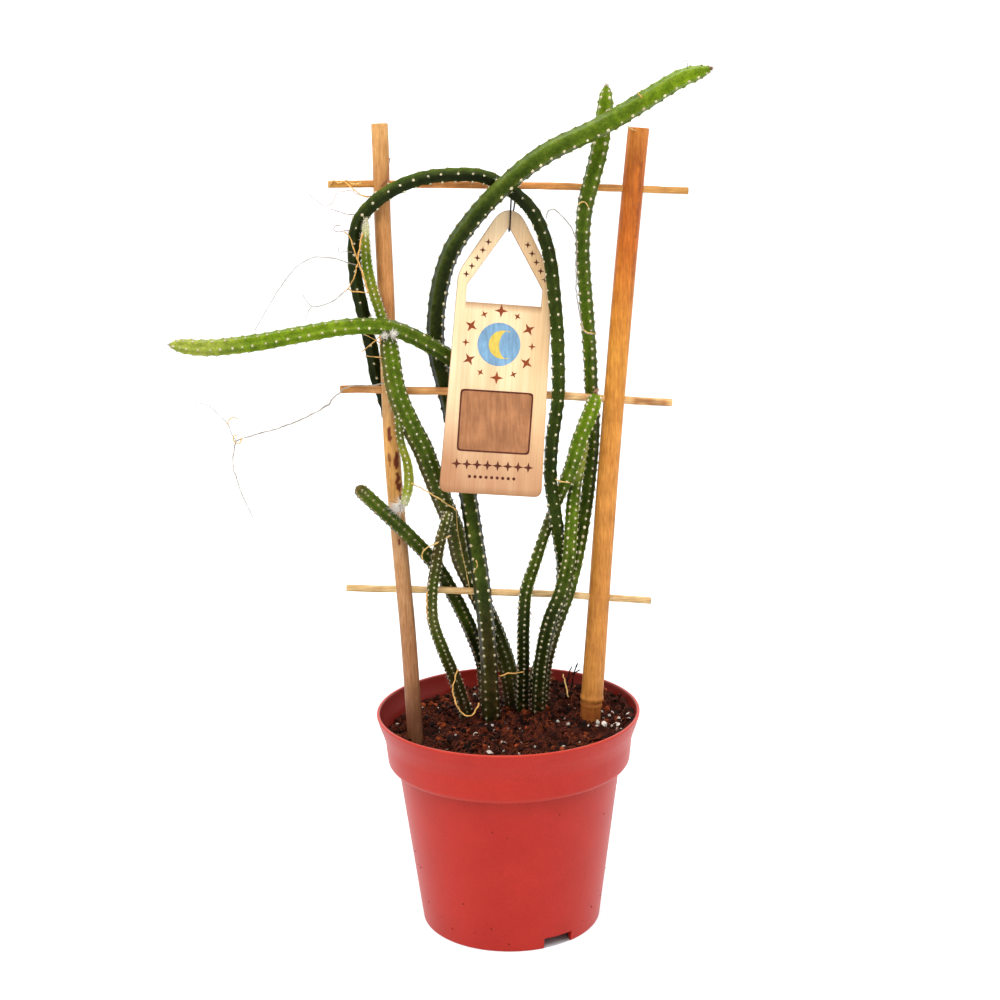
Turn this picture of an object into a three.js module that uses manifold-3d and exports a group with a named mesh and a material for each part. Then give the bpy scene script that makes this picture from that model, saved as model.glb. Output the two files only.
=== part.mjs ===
// Potted queen of the night cactus tied up on a small bamboo trellis.
// Millimetres, +Z up. The origin is the centre of the pot's foot, on the surface it stands on.
// X runs along the trellis and +Y points to the back of the plant.
import * as THREE from 'three';
import { mergeGeometries, mergeVertices } from 'three/addons/utils/BufferGeometryUtils.js';
import Module from 'manifold-3d';

const wasm = await Module();
wasm.setup();

// Pot, a thin-walled grower pot with a flared collar and a raised floor
const POT_HEIGHT = 100;
const RIM_RADIUS = 60;
const WALL = 1.4;
const COLLAR_HEIGHT = 23.4;
const COLLAR_SHAPE = [
  { z: 77.6, radius: 55.5 }, { z: 87.6, radius: 56.4 }, { z: 93, radius: 58.1 }, { z: 99.4, radius: 60 },
];
const COLLAR_LIP = 0.9;
const BODY_TOP_RADIUS = 51.1;
const FOOT_RADIUS = 41.2;
const FOOT_RING_WIDTH = 1.7;
const FLOOR_HEIGHT = 6.2;
const PAD_RADIUS = 13;
const PAD_THICKNESS = 1.6;
const POT_SIDES = 36;
const NOTCH = { count: 3, first: 0.45, width: 14.3, height: 5.2, depth: 8 };
const DRAIN = { radius: 3, reach: 32.2, sides: 10 };

// Soil and what lies in it
const GAP = 0.35;
const SOIL_EDGE_GAP = 0.6;
const SOIL_SIDE_Z = 86.5;
const SOIL_LEVEL = 93.6;
const SOIL_SLOPE = 4.2 / RIM_RADIUS;
const SOIL_RINGS = [1, 0.84, 0.66, 0.48, 0.3, 0.14, 0];
const HEAP = { height: 2.6, y: 8, width: 26.5 };
const LUMP_HEIGHT = 0.7;
const FINE_LUMP_HEIGHT = 0.5;
const HOLLOW = 0.9;
const CHIP = { count: 22, smallest: 0.9, spread: 1.3, clearance: 1.5, sunk: 0.1, seed: 7 };

// Bamboo trellis, all in one upright plane
const TRELLIS_Y = -8;
const STAKE_FOOT_Z = 70;
// A stake's bow is how far it stands to the side of its straight line, at heights along it
const LEFT_STAKE = {
  foot: [-42.6, STAKE_FOOT_Z],
  top: [-50.3, 361],
  footRadius: 3.5,
  topRadius: 3.5,
  bow: [
    { z: 120, x: -0.15 }, { z: 145, x: -0.6 }, { z: 190, x: -2.1 }, { z: 216, x: -2.8 }, { z: 240, x: -2.6 },
    { z: 290, x: -1.45 }, { z: 325, x: -1 }, { z: 349, x: -0.2 },
  ],
};
const RIGHT_STAKE = {
  foot: [34.6, STAKE_FOOT_Z],
  top: [58.9, 357.5],
  footRadius: 4.7,
  topRadius: 4.55,
  bow: [
    { z: 118, x: -0.25 }, { z: 166, x: -0.75 }, { z: 205, x: -1.1 }, { z: 262, x: -1.05 },
    { z: 310, x: -0.8 }, { z: 346, x: -0.25 },
  ],
};
const BAMBOO_JOINT_Z = 105;
const BAMBOO_JOINT_RADIUS = 5.4;
const BAMBOO_ABOVE_JOINT = 4.9;
const BAMBOO_JOINT_HALF = 2.5;
const STAKE_SIDES = 12;
const STAKE_BEVEL = 0.6;
const RUNG_RADIUS = 1.5;
const RUNG_BEVEL = 0.3;
const RUNG_SIDES = 8;
const RUNG_BORE_RADIUS = 2;
const RUNG_BORE_START = 2;
const RUNG_BORE_LENGTH = 160;
const RUNGS = {
  rung_top: { left: [-72.5, 337.2], right: [80.2, 331.3] },
  rung_middle: { left: [-70.9, 250.9], right: [73.7, 240.4] },
  rung_bottom: { left: [-71.5, 162.8], right: [64.6, 150.6] },
};

// Wooden tag, a house-shaped board with an open gable, hung on a loop of wire
const TAG_TOP = new THREE.Vector3(3.5, -10, 324.5);
const TAG_LENGTH = 121;
const TAG_THICKNESS = 2;
const TAG_FORWARD = 11;
const TAG_SIDEWAYS = THREE.MathUtils.degToRad(5.65);
const TAG_SHOULDER = { down: 27.5, half: 20.2 };
const TAG_FOOT_HALF = 22.2;
const TAG_APEX = { half: 5.6, down: 2.6, crown: 2.6 };
const TAG_SHOULDER_ROUND = 3;
const TAG_CORNER = 3.5;
const GABLE = { apex: 7, shoulder: 32.4, bottom: 39.5, half: 16.2, round: 1.2 };
const WIRE_RADIUS = 0.4;
const WIRE_TURNS = 30;
const WIRE_SIDES = 5;
const WIRE_LOOP = [
  [4.6, -8, 337.1], [4.4, -9.9, 336.3], [4.2, -10.6, 334.1], [3.5, -12, 325.5], [3, -12.5, 318.5],
  [2.8, -11.9, 316.1], [2.8, -10.6, 315.7], [2.9, -9.2, 316.6], [3.4, -8.6, 319.5], [4.3, -6.8, 326],
  [5.3, -5.5, 333.2], [5.1, -6.1, 336.1],
];

// Stems: x, y, z of the middle of each stem and its radius over the ribs, from the end in the soil to the tip
const STEM_FRONT = [
  [-6.5, 10, 81, 4.4], [-7.5, 3, 95.5, 4.4], [-9, -6, 127.5, 4], [-12, -14.5, 160.5, 4],
  [-14.5, -11.5, 182.5, 4], [-16.9, -7.5, 202.2, 4], [-20.8, -4, 226.3, 4], [-25.1, -2, 248.3, 4],
  [-28.7, -2.5, 266, 4], [-27.7, -5, 287, 4], [-22.6, -9.5, 306, 4], [-13.3, -15.5, 320.6, 4],
  [-0.6, -22.5, 334.4, 4], [16.3, -24.5, 347.1, 4.4], [41, -25, 358.6, 4.3], [61, -26, 369.9, 4.2],
  [73.1, -27, 376.7, 3.9], [85.1, -28, 380.3, 3],
];
const BRANCH_ARM = [
  [-21.3, -4, 226.3, 3], [-18.2, -3, 236.8, 3.3], [-16.1, -2, 246.3, 3.5], [-17.6, -5, 255.1, 3.5],
  [-21.2, -8.5, 260.5, 3.5], [-25.6, -10.5, 264.4, 3.5], [-31.4, -12.5, 268.3, 3.5],
  [-40.1, -16, 273.4, 3.5], [-50.1, -20, 277.6, 3.5], [-66, -21.5, 278.5, 3.5], [-86.4, -22, 275.9, 3.5],
  [-106.9, -22, 272.8, 3.6], [-126, -21.5, 271.5, 3.5], [-140.5, -20.5, 273.2, 2.8],
];
const STEM_LEFT_TALL = [
  [2.5, 20, 83, 4.2], [3.9, 14.5, 96, 4.2], [1, 8.5, 116, 4.2], [-4.8, 3.5, 134.6, 4.2],
  [-13.9, -1.5, 157.2, 4.2], [-20, -3, 171.5, 4.2], [-23, -5, 186, 4.2], [-27, -8, 197, 4.2],
  [-31.7, -11, 210.4, 4.4], [-36.7, -14, 224.8, 4.5], [-42.8, -16, 237.9, 4.4],
  [-47.2, -16.5, 250.6, 4.2], [-49, -16.5, 263.5, 4.1], [-50, -15.5, 273.5, 3.6],
];
const BRANCH_DROP = [
  [-46, -16.5, 243, 1.6], [-46.5, -18.5, 236, 1.6], [-45.5, -18.5, 227, 1.6], [-43.5, -18, 219, 2],
  [-43, -17, 211.5, 2.2], [-44, -16.5, 205.5, 2.1], [-46, -16, 199.5, 1.7],
];
const BRANCH_YOUNG = [
  [-50, -15.5, 268.5, 2.2], [-51, -14.6, 276, 2.2], [-53, -14.3, 284, 2.2], [-55.5, -14.5, 292.5, 2.3],
  [-57.5, -14.5, 302, 2.4], [-58, -16, 311.5, 2.1], [-57.5, -17.5, 322, 1.3],
];
const STEM_LEFT_SLIM = [
  [-17, 13, 81.5, 2.9], [-19, 7, 96.5, 2.9], [-24, -0.5, 115, 2.9], [-29.5, -6.5, 131, 2.8],
  [-34, -11.5, 147, 2.5], [-34, -14, 161.5, 2.4], [-32.5, -16, 171.5, 2.4], [-30, -16, 184, 2.4],
  [-26, -16, 197, 2],
];
const STEM_LEFT_LOW = [
  [-7, 26, 84, 3.2], [-8, 20, 98, 3.2], [-10, 12.5, 117, 3.2], [-15, 6, 133.5, 3.2],
  [-20.5, 1, 147.5, 3.2], [-25, -2.5, 157.5, 3.2], [-29.5, -5.5, 166.5, 3.2], [-35.5, -10, 176, 3.2],
  [-42, -14.5, 184.5, 3.2], [-49.5, -16.5, 193, 3.2], [-58, -18, 202, 3.2], [-65.5, -19.5, 210, 3],
];
const STEM_ARCH = [
  [13.5, 37, 79, 3], [13.5, 30, 95.5, 3], [17.5, 16, 117, 3], [21.6, 3, 139.8, 3], [24.8, -2.5, 155.3, 3],
  [25, -4.5, 168.5, 3], [22.8, -10.5, 180.5, 3], [20.4, -15, 194, 3], [18.5, -15.5, 209.5, 3],
  [19.5, -15, 226.5, 3], [22, -15.5, 244, 3], [22, -17.5, 265.5, 3], [20.7, -18, 287, 3],
  [18.1, -17.5, 307.9, 3], [12.6, -16, 322.9, 3], [4, -15.2, 332, 3], [-7.7, -14, 338.4, 3],
  [-20, -14, 339.5, 3], [-32.6, -13.5, 338.5, 3], [-45.4, -15, 334.2, 3], [-54.8, -14.5, 327.9, 3],
  [-60.4, -12, 320.9, 3], [-62.3, -9.5, 311.5, 3], [-62.2, -8, 296.6, 3], [-59.5, -5.5, 281.7, 3],
  [-56.6, -3.5, 266.7, 3], [-54.6, -2.5, 253.2, 3], [-52.3, -1.5, 246.1, 3], [-50.6, -0.5, 239.6, 3],
  [-50, 0, 231, 2.6],
];
const STEM_RIGHT_TALL = [
  [17, 20, 80, 3.2], [17, 13.5, 96, 3.2], [17.5, 3, 118.5, 3.2], [20.5, -7.5, 138.5, 3.2],
  [24, -13, 151.3, 3.1], [26.3, -13.5, 158.2, 3.1], [31.5, -9.5, 176.4, 3.1], [35.9, -5, 196.9, 3.1],
  [38.5, -3.5, 217, 3.1], [39.4, -2.5, 232.5, 3.1], [38.8, -2.5, 243, 3.1], [37.8, -4, 263.5, 3.1],
  [35.8, -7.5, 285.5, 3.1], [34, -11, 307, 3.1], [34.8, -13, 325, 3.5], [37.6, -14, 336.4, 3.7],
  [40.8, -14, 348.3, 3.8], [43.1, -14, 362.9, 3.6], [44.1, -14, 375, 3.2],
];
const STEM_RIGHT_INNER = [
  [8.5, 14, 79.5, 2.9], [7.5, 7.5, 94, 2.9], [7, -2.5, 121, 2.9], [6.5, -10, 142, 2.9],
  [7.5, -13.5, 159, 2.9], [11.1, -13.5, 169.8, 2.6], [15.4, -10.5, 180.6, 2.4], [19, -7.5, 188.8, 2.4],
  [22.2, -8.5, 197.4, 2.5], [24.5, -11, 204, 2.8], [28, -14, 214, 3.2], [31.6, -14.5, 225.8, 3.4],
  [34.9, -14.5, 233.8, 3.5], [37.8, -14.5, 241.4, 3.4], [39, -14.5, 246, 3],
];
const STEM_RIGHT_SHORT = [
  [15.5, 11.5, 78, 3.2], [14.5, 5, 93.5, 3.2], [14.5, -7, 122, 3.2], [17.6, -16.5, 145.8, 3.2],
  [22.5, -20, 159.8, 3.2], [25.9, -18.5, 173.4, 2.9], [27.5, -15, 186, 2.8], [29, -10.5, 196, 2.8],
  [30.5, -8.5, 204.5, 2.7], [32.5, -8.5, 214, 2.5], [35, -8.5, 224.5, 2],
];

// Ribs, areoles and spines
const GROOVE_DEPTH = 0.25;
const AREOLE_HEIGHT = 0.3;
const RING_SPACING = 7.6;
const FRAME_SPACING = 0.5;
const SPINE = { length: 2.6, root: 1, radius: 0.5, lean: 0.45 };
const SPINE_CLEARANCE = 0.7;
const SPINE_SWAY = 0.35;
const SPINE_LOWEST_Z = 101;
const TIP_LENGTH = 1.3;
const TIP_RINGS = [0.7, 0.25, 0];
const TIP_FLAT = 0.22;
const HOLE_SIDES = 8;
const HOLE_TOP_Z = 109;
const HOLE_EASE = 0.25;
const SAMPLE_SPACING = 2;
const SPINE_KEEPS_OFF_TAG = 2;
const WIRE_ZONE = { half: 3, bottom: 312, top: 339 };

const COLOURS = {
  terracotta: new THREE.Color(0.72, 0.19, 0.12),
  peat: new THREE.Color(0.17, 0.09, 0.06),
  paleBamboo: new THREE.Color(0.8, 0.6, 0.42),
  bamboo: new THREE.Color(0.82, 0.52, 0.24),
  wood: new THREE.Color(0.9, 0.76, 0.55),
  wire: new THREE.Color(0.08, 0.07, 0.06),
  oldStem: new THREE.Color(0.1, 0.2, 0.08),
  stem: new THREE.Color(0.2, 0.36, 0.12),
  youngStem: new THREE.Color(0.38, 0.55, 0.16),
};

const cactus = new THREE.Group();

/** Adds one named piece with its own material. */
function addPiece(name, geometry, colour, roughness) {
  const material = new THREE.MeshStandardMaterial({ color: colour, roughness, metalness: 0 });
  const mesh = new THREE.Mesh(geometry, material);
  mesh.name = name;
  cactus.add(mesh);
  return mesh;
}

/** The same shape with only its corners, each of them once. */
function welded(geometry) {
  geometry.deleteAttribute('normal');
  geometry.deleteAttribute('uv');
  return mergeVertices(geometry, 1e-4);
}

function toSolid(geometry) {
  const shape = welded(geometry.clone());
  const vertProperties = new Float32Array(shape.attributes.position.array);
  const triVerts = new Uint32Array(shape.index.array);
  return new wasm.Manifold(new wasm.Mesh({ numProp: 3, vertProperties, triVerts }));
}

function toGeometry(solid) {
  const mesh = solid.getMesh();
  const geometry = new THREE.BufferGeometry();
  geometry.setAttribute('position', new THREE.BufferAttribute(new Float32Array(mesh.vertProperties), 3));
  geometry.setIndex(new THREE.BufferAttribute(new Uint32Array(mesh.triVerts), 1));
  return geometry;
}

/** Repeatable random numbers from 0 to 1. */
function randomSource(seed) {
  let state = seed;
  return () => {
    state = (state * 1664525 + 1013904223) % 4294967296;
    return state / 4294967296;
  };
}

/** A profile of radius and height turned about the Z axis. */
function turned(profile, sides) {
  const points = profile.map(([radius, height]) => new THREE.Vector2(radius, height));
  return new THREE.LatheGeometry(points, sides).rotateX(Math.PI / 2);
}

/** A turned profile laid with its axis from one point to another. */
function turnedBetween(from, to, profile, sides) {
  const axis = to.clone().sub(from);
  const upright = new THREE.Vector3(0, 0, 1);
  const turn = new THREE.Quaternion().setFromUnitVectors(upright, axis.clone().normalize());
  return turned(profile, sides).applyQuaternion(turn).translate(from.x, from.y, from.z);
}

function onTrellis([x, z]) {
  return new THREE.Vector3(x, TRELLIS_Y, z);
}

/** How far a stake stands to the side of its straight line at a height. */
function bowAt(stake, z) {
  const places = [{ z: stake.foot[1], x: 0 }, ...stake.bow, { z: stake.top[1], x: 0 }];
  const above = Math.max(1, places.findIndex((place) => place.z >= Math.min(z, stake.top[1])));
  const [low, high] = [places[above - 1], places[above]];
  const share = THREE.MathUtils.clamp((z - low.z) / (high.z - low.z), 0, 1);
  return THREE.MathUtils.lerp(low.x, high.x, share);
}

/** Points spaced along a straight rod, with the radius there, for the test that keeps spines clear. */
function rodSamples(from, to, radiusAt) {
  const count = Math.ceil(from.distanceTo(to) / SAMPLE_SPACING);
  return Array.from({ length: count + 1 }, (_, i) => {
    const share = i / count;
    return { point: from.clone().lerp(to, share), radius: radiusAt(share) };
  });
}

/** Inner radius of the pot at a height: a straight slope in the body, a flare in the collar. */
function potInnerRadius(z) {
  const ledge = POT_HEIGHT - COLLAR_HEIGHT + WALL;
  if (z <= ledge) return THREE.MathUtils.lerp(FOOT_RADIUS, BODY_TOP_RADIUS, z / ledge) - WALL;
  const found = COLLAR_SHAPE.findIndex((ring) => ring.z >= z);
  const above = found < 0 ? COLLAR_SHAPE.length - 1 : Math.max(1, found);
  const [low, high] = [COLLAR_SHAPE[above - 1], COLLAR_SHAPE[above]];
  return THREE.MathUtils.lerp(low.radius, high.radius, (z - low.z) / (high.z - low.z)) - WALL;
}

function makePot() {
  const ledge = POT_HEIGHT - COLLAR_HEIGHT;
  const plate = FLOOR_HEIGHT - WALL;
  const outside = COLLAR_SHAPE.map((ring) => [ring.radius, ring.z]);
  const inside = COLLAR_SHAPE.slice(1, -1).reverse().map((ring) => [ring.radius - WALL, ring.z]);
  const shell = turned([
    [0, 0], [PAD_RADIUS, 0], [PAD_RADIUS + 3, plate], [FOOT_RADIUS - 2.4, plate],
    [FOOT_RADIUS - FOOT_RING_WIDTH, 0], [FOOT_RADIUS - 0.5, 0], [FOOT_RADIUS, 0.8],
    [BODY_TOP_RADIUS, ledge - 0.4], [COLLAR_SHAPE[0].radius - COLLAR_LIP, ledge], ...outside,
    [RIM_RADIUS - 0.5, POT_HEIGHT], [RIM_RADIUS - WALL, POT_HEIGHT - 0.3], ...inside,
    [potInnerRadius(ledge + WALL + 0.01), ledge + WALL], [potInnerRadius(ledge), ledge + WALL],
    [potInnerRadius(FLOOR_HEIGHT), FLOOR_HEIGHT], [PAD_RADIUS + 2, FLOOR_HEIGHT],
    [PAD_RADIUS - 1, PAD_THICKNESS], [0, PAD_THICKNESS],
  ], POT_SIDES);
  let pot = toSolid(shell);
  for (let i = 0; i < NOTCH.count; i += 1) {
    const angle = ((i + NOTCH.first) / NOTCH.count) * 2 * Math.PI;
    const notch = new THREE.BoxGeometry(NOTCH.depth, NOTCH.width, 2 * NOTCH.height);
    notch.translate(FOOT_RADIUS, 0, 0).rotateZ(angle);
    const drain = new THREE.CylinderGeometry(DRAIN.radius, DRAIN.radius, 2 * FLOOR_HEIGHT, DRAIN.sides);
    drain.rotateX(Math.PI / 2).translate(DRAIN.reach, 0, FLOOR_HEIGHT).rotateZ(angle);
    pot = pot.subtract(toSolid(notch)).subtract(toSolid(drain));
  }
  return toGeometry(pot);
}

/** Height of the soil: higher to the right, heaped up a little round the stems, and lumpy. */
function soilHeight(x, y) {
  const heap = HEAP.height * Math.exp(-((x / HEAP.width) ** 2) - ((y - HEAP.y) / HEAP.width) ** 2);
  const lumps = LUMP_HEIGHT * Math.sin(x * 0.31 + 1) * Math.cos(y * 0.27);
  const fineLumps = FINE_LUMP_HEIGHT * Math.sin(x * 0.12 - y * 0.45);
  return SOIL_LEVEL + SOIL_SLOPE * x + heap + lumps + fineLumps - HOLLOW;
}

/** Lumpy peat up to the collar, with small stones in it, open for everything that stands in it. */
function makeSoil(holes, feet) {
  const ledge = POT_HEIGHT - COLLAR_HEIGHT + WALL + GAP;
  const edge = potInnerRadius(SOIL_LEVEL) - SOIL_EDGE_GAP;
  const tops = SOIL_RINGS.map((share) => [share * edge, SOIL_LEVEL]);
  const geometry = welded(turned([
    [0, PAD_THICKNESS + GAP], [PAD_RADIUS - 1.4, PAD_THICKNESS + GAP],
    [PAD_RADIUS + 1.7, FLOOR_HEIGHT + GAP], [potInnerRadius(FLOOR_HEIGHT) - GAP, FLOOR_HEIGHT + GAP],
    [potInnerRadius(ledge - WALL - GAP) - GAP, ledge], [potInnerRadius(ledge) - GAP, ledge],
    [potInnerRadius(SOIL_SIDE_Z) - SOIL_EDGE_GAP, SOIL_SIDE_Z], ...tops,
  ], POT_SIDES));
  const position = geometry.attributes.position;
  for (let i = 0; i < position.count; i += 1) {
    if (position.getZ(i) < SOIL_LEVEL - 1) continue;
    const x = position.getX(i);
    const y = position.getY(i);
    const z = soilHeight(x, y);
    const onEdge = Math.hypot(x, y) > edge - 0.1;
    const shrink = onEdge ? (potInnerRadius(z) - SOIL_EDGE_GAP) / edge : 1;
    position.setXYZ(i, x * shrink, y * shrink, z);
  }
  let soil = toSolid(geometry);
  const random = randomSource(CHIP.seed);
  let placed = 0;
  while (placed < CHIP.count) {
    const angle = random() * 2 * Math.PI;
    const reach = Math.sqrt(random()) * (edge - 4);
    const size = CHIP.smallest + CHIP.spread * random();
    const [x, y] = [reach * Math.cos(angle), reach * Math.sin(angle)];
    const room = size + CHIP.clearance;
    if (feet.some((foot) => Math.hypot(foot.x - x, foot.y - y) < foot.radius + room)) continue;
    const chip = new THREE.IcosahedronGeometry(size, 0).scale(1, 0.8 + 0.4 * random(), 0.75);
    chip.rotateZ(angle * 5).translate(x, y, soilHeight(x, y) + CHIP.sunk);
    soil = soil.add(toSolid(chip));
    placed += 1;
  }
  holes.forEach((hole) => {
    soil = soil.subtract(toSolid(hole));
  });
  const bodies = soil.decompose().sort((a, b) => b.volume() - a.volume());
  return toGeometry(bodies[0]);
}

/** A stake with its foot in the soil, a little bowed and drilled for the rungs. */
function makeStake(stake, joint) {
  const foot = onTrellis(stake.foot);
  const top = onTrellis(stake.top);
  const length = foot.distanceTo(top);
  const swelling = joint
    ? [
      [stake.footRadius, joint - BAMBOO_JOINT_HALF], [BAMBOO_JOINT_RADIUS, joint],
      [BAMBOO_ABOVE_JOINT, joint + BAMBOO_JOINT_HALF],
    ]
    : [];
  const lowest = joint ? BAMBOO_ABOVE_JOINT : stake.footRadius;
  const bowed = stake.bow.map(({ z }) => {
    const share = (z - foot.z) / (top.z - foot.z);
    return [THREE.MathUtils.lerp(lowest, stake.topRadius, share), share * length];
  });
  const profile = [
    [0, 0], [stake.footRadius, 0], ...swelling, ...bowed, [stake.topRadius, length - STAKE_BEVEL],
    [stake.topRadius - STAKE_BEVEL, length], [0, length],
  ];
  const rod = welded(turnedBetween(foot, top, profile, STAKE_SIDES));
  const position = rod.attributes.position;
  for (let i = 0; i < position.count; i += 1) {
    position.setX(i, position.getX(i) + bowAt(stake, position.getZ(i)));
  }
  let body = toSolid(rod);
  const [start, end] = [-RUNG_BORE_START, RUNG_BORE_LENGTH];
  const bore = [[0, start], [RUNG_BORE_RADIUS, start], [RUNG_BORE_RADIUS, end], [0, end]];
  Object.values(RUNGS).forEach((rung) => {
    const drill = turnedBetween(onTrellis(rung.left), onTrellis(rung.right), bore, RUNG_SIDES);
    body = body.subtract(toSolid(drill));
  });
  return toGeometry(body);
}

function makeRung(rung) {
  const [left, right] = [onTrellis(rung.left), onTrellis(rung.right)];
  const length = left.distanceTo(right);
  const end = RUNG_RADIUS - RUNG_BEVEL;
  const profile = [
    [0, 0], [end, 0], [RUNG_RADIUS, RUNG_BEVEL], [RUNG_RADIUS, length - RUNG_BEVEL], [end, length],
    [0, length],
  ];
  return turnedBetween(left, right, profile, RUNG_SIDES);
}

/** The turn and place of the board: its right, its up and its face towards the front. */
function tagPlacement() {
  const down = new THREE.Vector3(
    -Math.sin(TAG_SIDEWAYS) * TAG_LENGTH, -TAG_FORWARD, -Math.cos(TAG_SIDEWAYS) * TAG_LENGTH,
  ).normalize();
  const right = new THREE.Vector3(Math.cos(TAG_SIDEWAYS), 0, -Math.sin(TAG_SIDEWAYS));
  const up = down.clone().negate();
  const face = new THREE.Vector3().crossVectors(right, up);
  return new THREE.Matrix4().makeBasis(right, up, face).setPosition(TAG_TOP);
}

function makeTag() {
  const outline = new THREE.Shape();
  const { down, half } = TAG_SHOULDER;
  outline.moveTo(-TAG_FOOT_HALF + TAG_CORNER, -TAG_LENGTH);
  outline.lineTo(TAG_FOOT_HALF - TAG_CORNER, -TAG_LENGTH);
  outline.quadraticCurveTo(TAG_FOOT_HALF, -TAG_LENGTH, TAG_FOOT_HALF, -TAG_LENGTH + TAG_CORNER);
  outline.lineTo(half + 0.1, -down - TAG_SHOULDER_ROUND);
  outline.quadraticCurveTo(half, -down, half - 2, -down + TAG_SHOULDER_ROUND);
  outline.lineTo(TAG_APEX.half, -TAG_APEX.down);
  outline.quadraticCurveTo(0, TAG_APEX.crown, -TAG_APEX.half, -TAG_APEX.down);
  outline.lineTo(-half + 2, -down + TAG_SHOULDER_ROUND);
  outline.quadraticCurveTo(-half, -down, -half - 0.1, -down - TAG_SHOULDER_ROUND);
  outline.lineTo(-TAG_FOOT_HALF, -TAG_LENGTH + TAG_CORNER);
  outline.quadraticCurveTo(-TAG_FOOT_HALF, -TAG_LENGTH, -TAG_FOOT_HALF + TAG_CORNER, -TAG_LENGTH);
  const gable = new THREE.Path();
  gable.moveTo(-GABLE.half, -GABLE.bottom);
  gable.lineTo(-GABLE.half, -GABLE.shoulder);
  gable.lineTo(-GABLE.round, -GABLE.apex - GABLE.round);
  gable.quadraticCurveTo(0, -GABLE.apex, GABLE.round, -GABLE.apex - GABLE.round);
  gable.lineTo(GABLE.half, -GABLE.shoulder);
  gable.lineTo(GABLE.half, -GABLE.bottom);
  outline.holes.push(gable);
  const settings = { depth: TAG_THICKNESS, bevelEnabled: false, curveSegments: 5 };
  const board = new THREE.ExtrudeGeometry(outline, settings).translate(0, 0, -TAG_THICKNESS / 2);
  return board.applyMatrix4(tagPlacement());
}

/** A ring of wire bent round the top rung and the top of the tag's gable. */
function makeWire() {
  const loop = new THREE.CatmullRomCurve3(WIRE_LOOP.map((point) => new THREE.Vector3(...point)), true);
  const thickness = 0.1;
  const ring = welded(new THREE.TorusGeometry(1, thickness, WIRE_SIDES, WIRE_TURNS));
  const position = ring.attributes.position;
  for (let i = 0; i < position.count; i += 1) {
    const [x, y, z] = [position.getX(i), position.getY(i), position.getZ(i)];
    const share = (Math.atan2(y, x) / (2 * Math.PI) + 1) % 1;
    const outward = ((Math.hypot(x, y) - 1) / thickness) * WIRE_RADIUS;
    const middle = loop.getPointAt(share);
    const along = loop.getTangentAt(share);
    const out = new THREE.Vector3(0, -along.z, along.y).normalize();
    const point = middle.addScaledVector(out, outward);
    position.setXYZ(i, point.x - (z / thickness) * WIRE_RADIUS, point.y, point.z);
  }
  return ring;
}

/** Middle line, radius and turning frames of one stem, ring by ring. */
function stemRings(points) {
  const curve = new THREE.CatmullRomCurve3(points.map(([x, y, z]) => new THREE.Vector3(x, y, z)));
  curve.arcLengthDivisions = 800;
  const length = curve.getLength();
  const fine = Math.round(length / FRAME_SPACING);
  const frames = curve.computeFrenetFrames(fine, false);
  const tip = points[points.length - 1][3];
  const straight = length - TIP_LENGTH * tip;
  const count = Math.round(straight / RING_SPACING);
  const places = Array.from({ length: count + 1 }, (_, k) => (k / count) * straight);
  places.push(...TIP_RINGS.map((share) => length - share * tip));
  return places.map((place, k) => {
    const index = Math.min(fine, Math.round((place / length) * fine));
    const onList = curve.getUtoTmapping(index / fine) * (points.length - 1);
    const low = Math.min(points.length - 2, Math.floor(onList));
    const radius = THREE.MathUtils.lerp(points[low][3], points[low + 1][3], onList - low);
    const fromTip = Math.min(1, (length - place) / (TIP_LENGTH * tip));
    const dome = Math.max(TIP_FLAT, Math.sqrt(1 - (1 - fromTip) ** 2));
    return {
      centre: curve.getPointAt(index / fine),
      normal: frames.normals[index],
      binormal: frames.binormals[index],
      tangent: frames.tangents[index],
      radius: radius * dome,
      areoles: k > 0 && k <= count,
    };
  });
}

function aroundRing(ring, angle) {
  return ring.normal.clone().multiplyScalar(Math.cos(angle)).addScaledVector(ring.binormal, Math.sin(angle));
}

/** The stem's skin: ribs along its whole length, raised at every other ring where an areole sits. */
function stemSkin(rings, ribs) {
  const section = new THREE.Shape(Array.from({ length: 2 * ribs }, (_, i) => {
    const reach = i % 2 === 0 ? 1 : 1 - GROOVE_DEPTH;
    return new THREE.Vector2(reach * Math.cos((i * Math.PI) / ribs), reach * Math.sin((i * Math.PI) / ribs));
  }));
  const steps = rings.length - 1;
  const skin = welded(new THREE.ExtrudeGeometry(section, { depth: 1, steps, bevelEnabled: false }));
  const position = skin.attributes.position;
  for (let i = 0; i < position.count; i += 1) {
    const [x, y] = [position.getX(i), position.getY(i)];
    const k = Math.round(position.getZ(i) * steps);
    const ring = rings[k];
    const angle = Math.atan2(y, x);
    const rib = Math.round((angle / (2 * Math.PI)) * ribs) + ribs;
    const crest = Math.hypot(x, y) > 1 - GROOVE_DEPTH / 2;
    const raised = crest && ring.areoles && (rib + k) % 2 === 0;
    const sunk = crest && !raised ? AREOLE_HEIGHT * Math.min(1, ring.radius / 2) : 0;
    const reach = ring.radius * Math.hypot(x, y) - sunk;
    const point = ring.centre.clone().addScaledVector(aroundRing(ring, angle), reach);
    position.setXYZ(i, point.x, point.y, point.z);
  }
  return skin;
}

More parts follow.
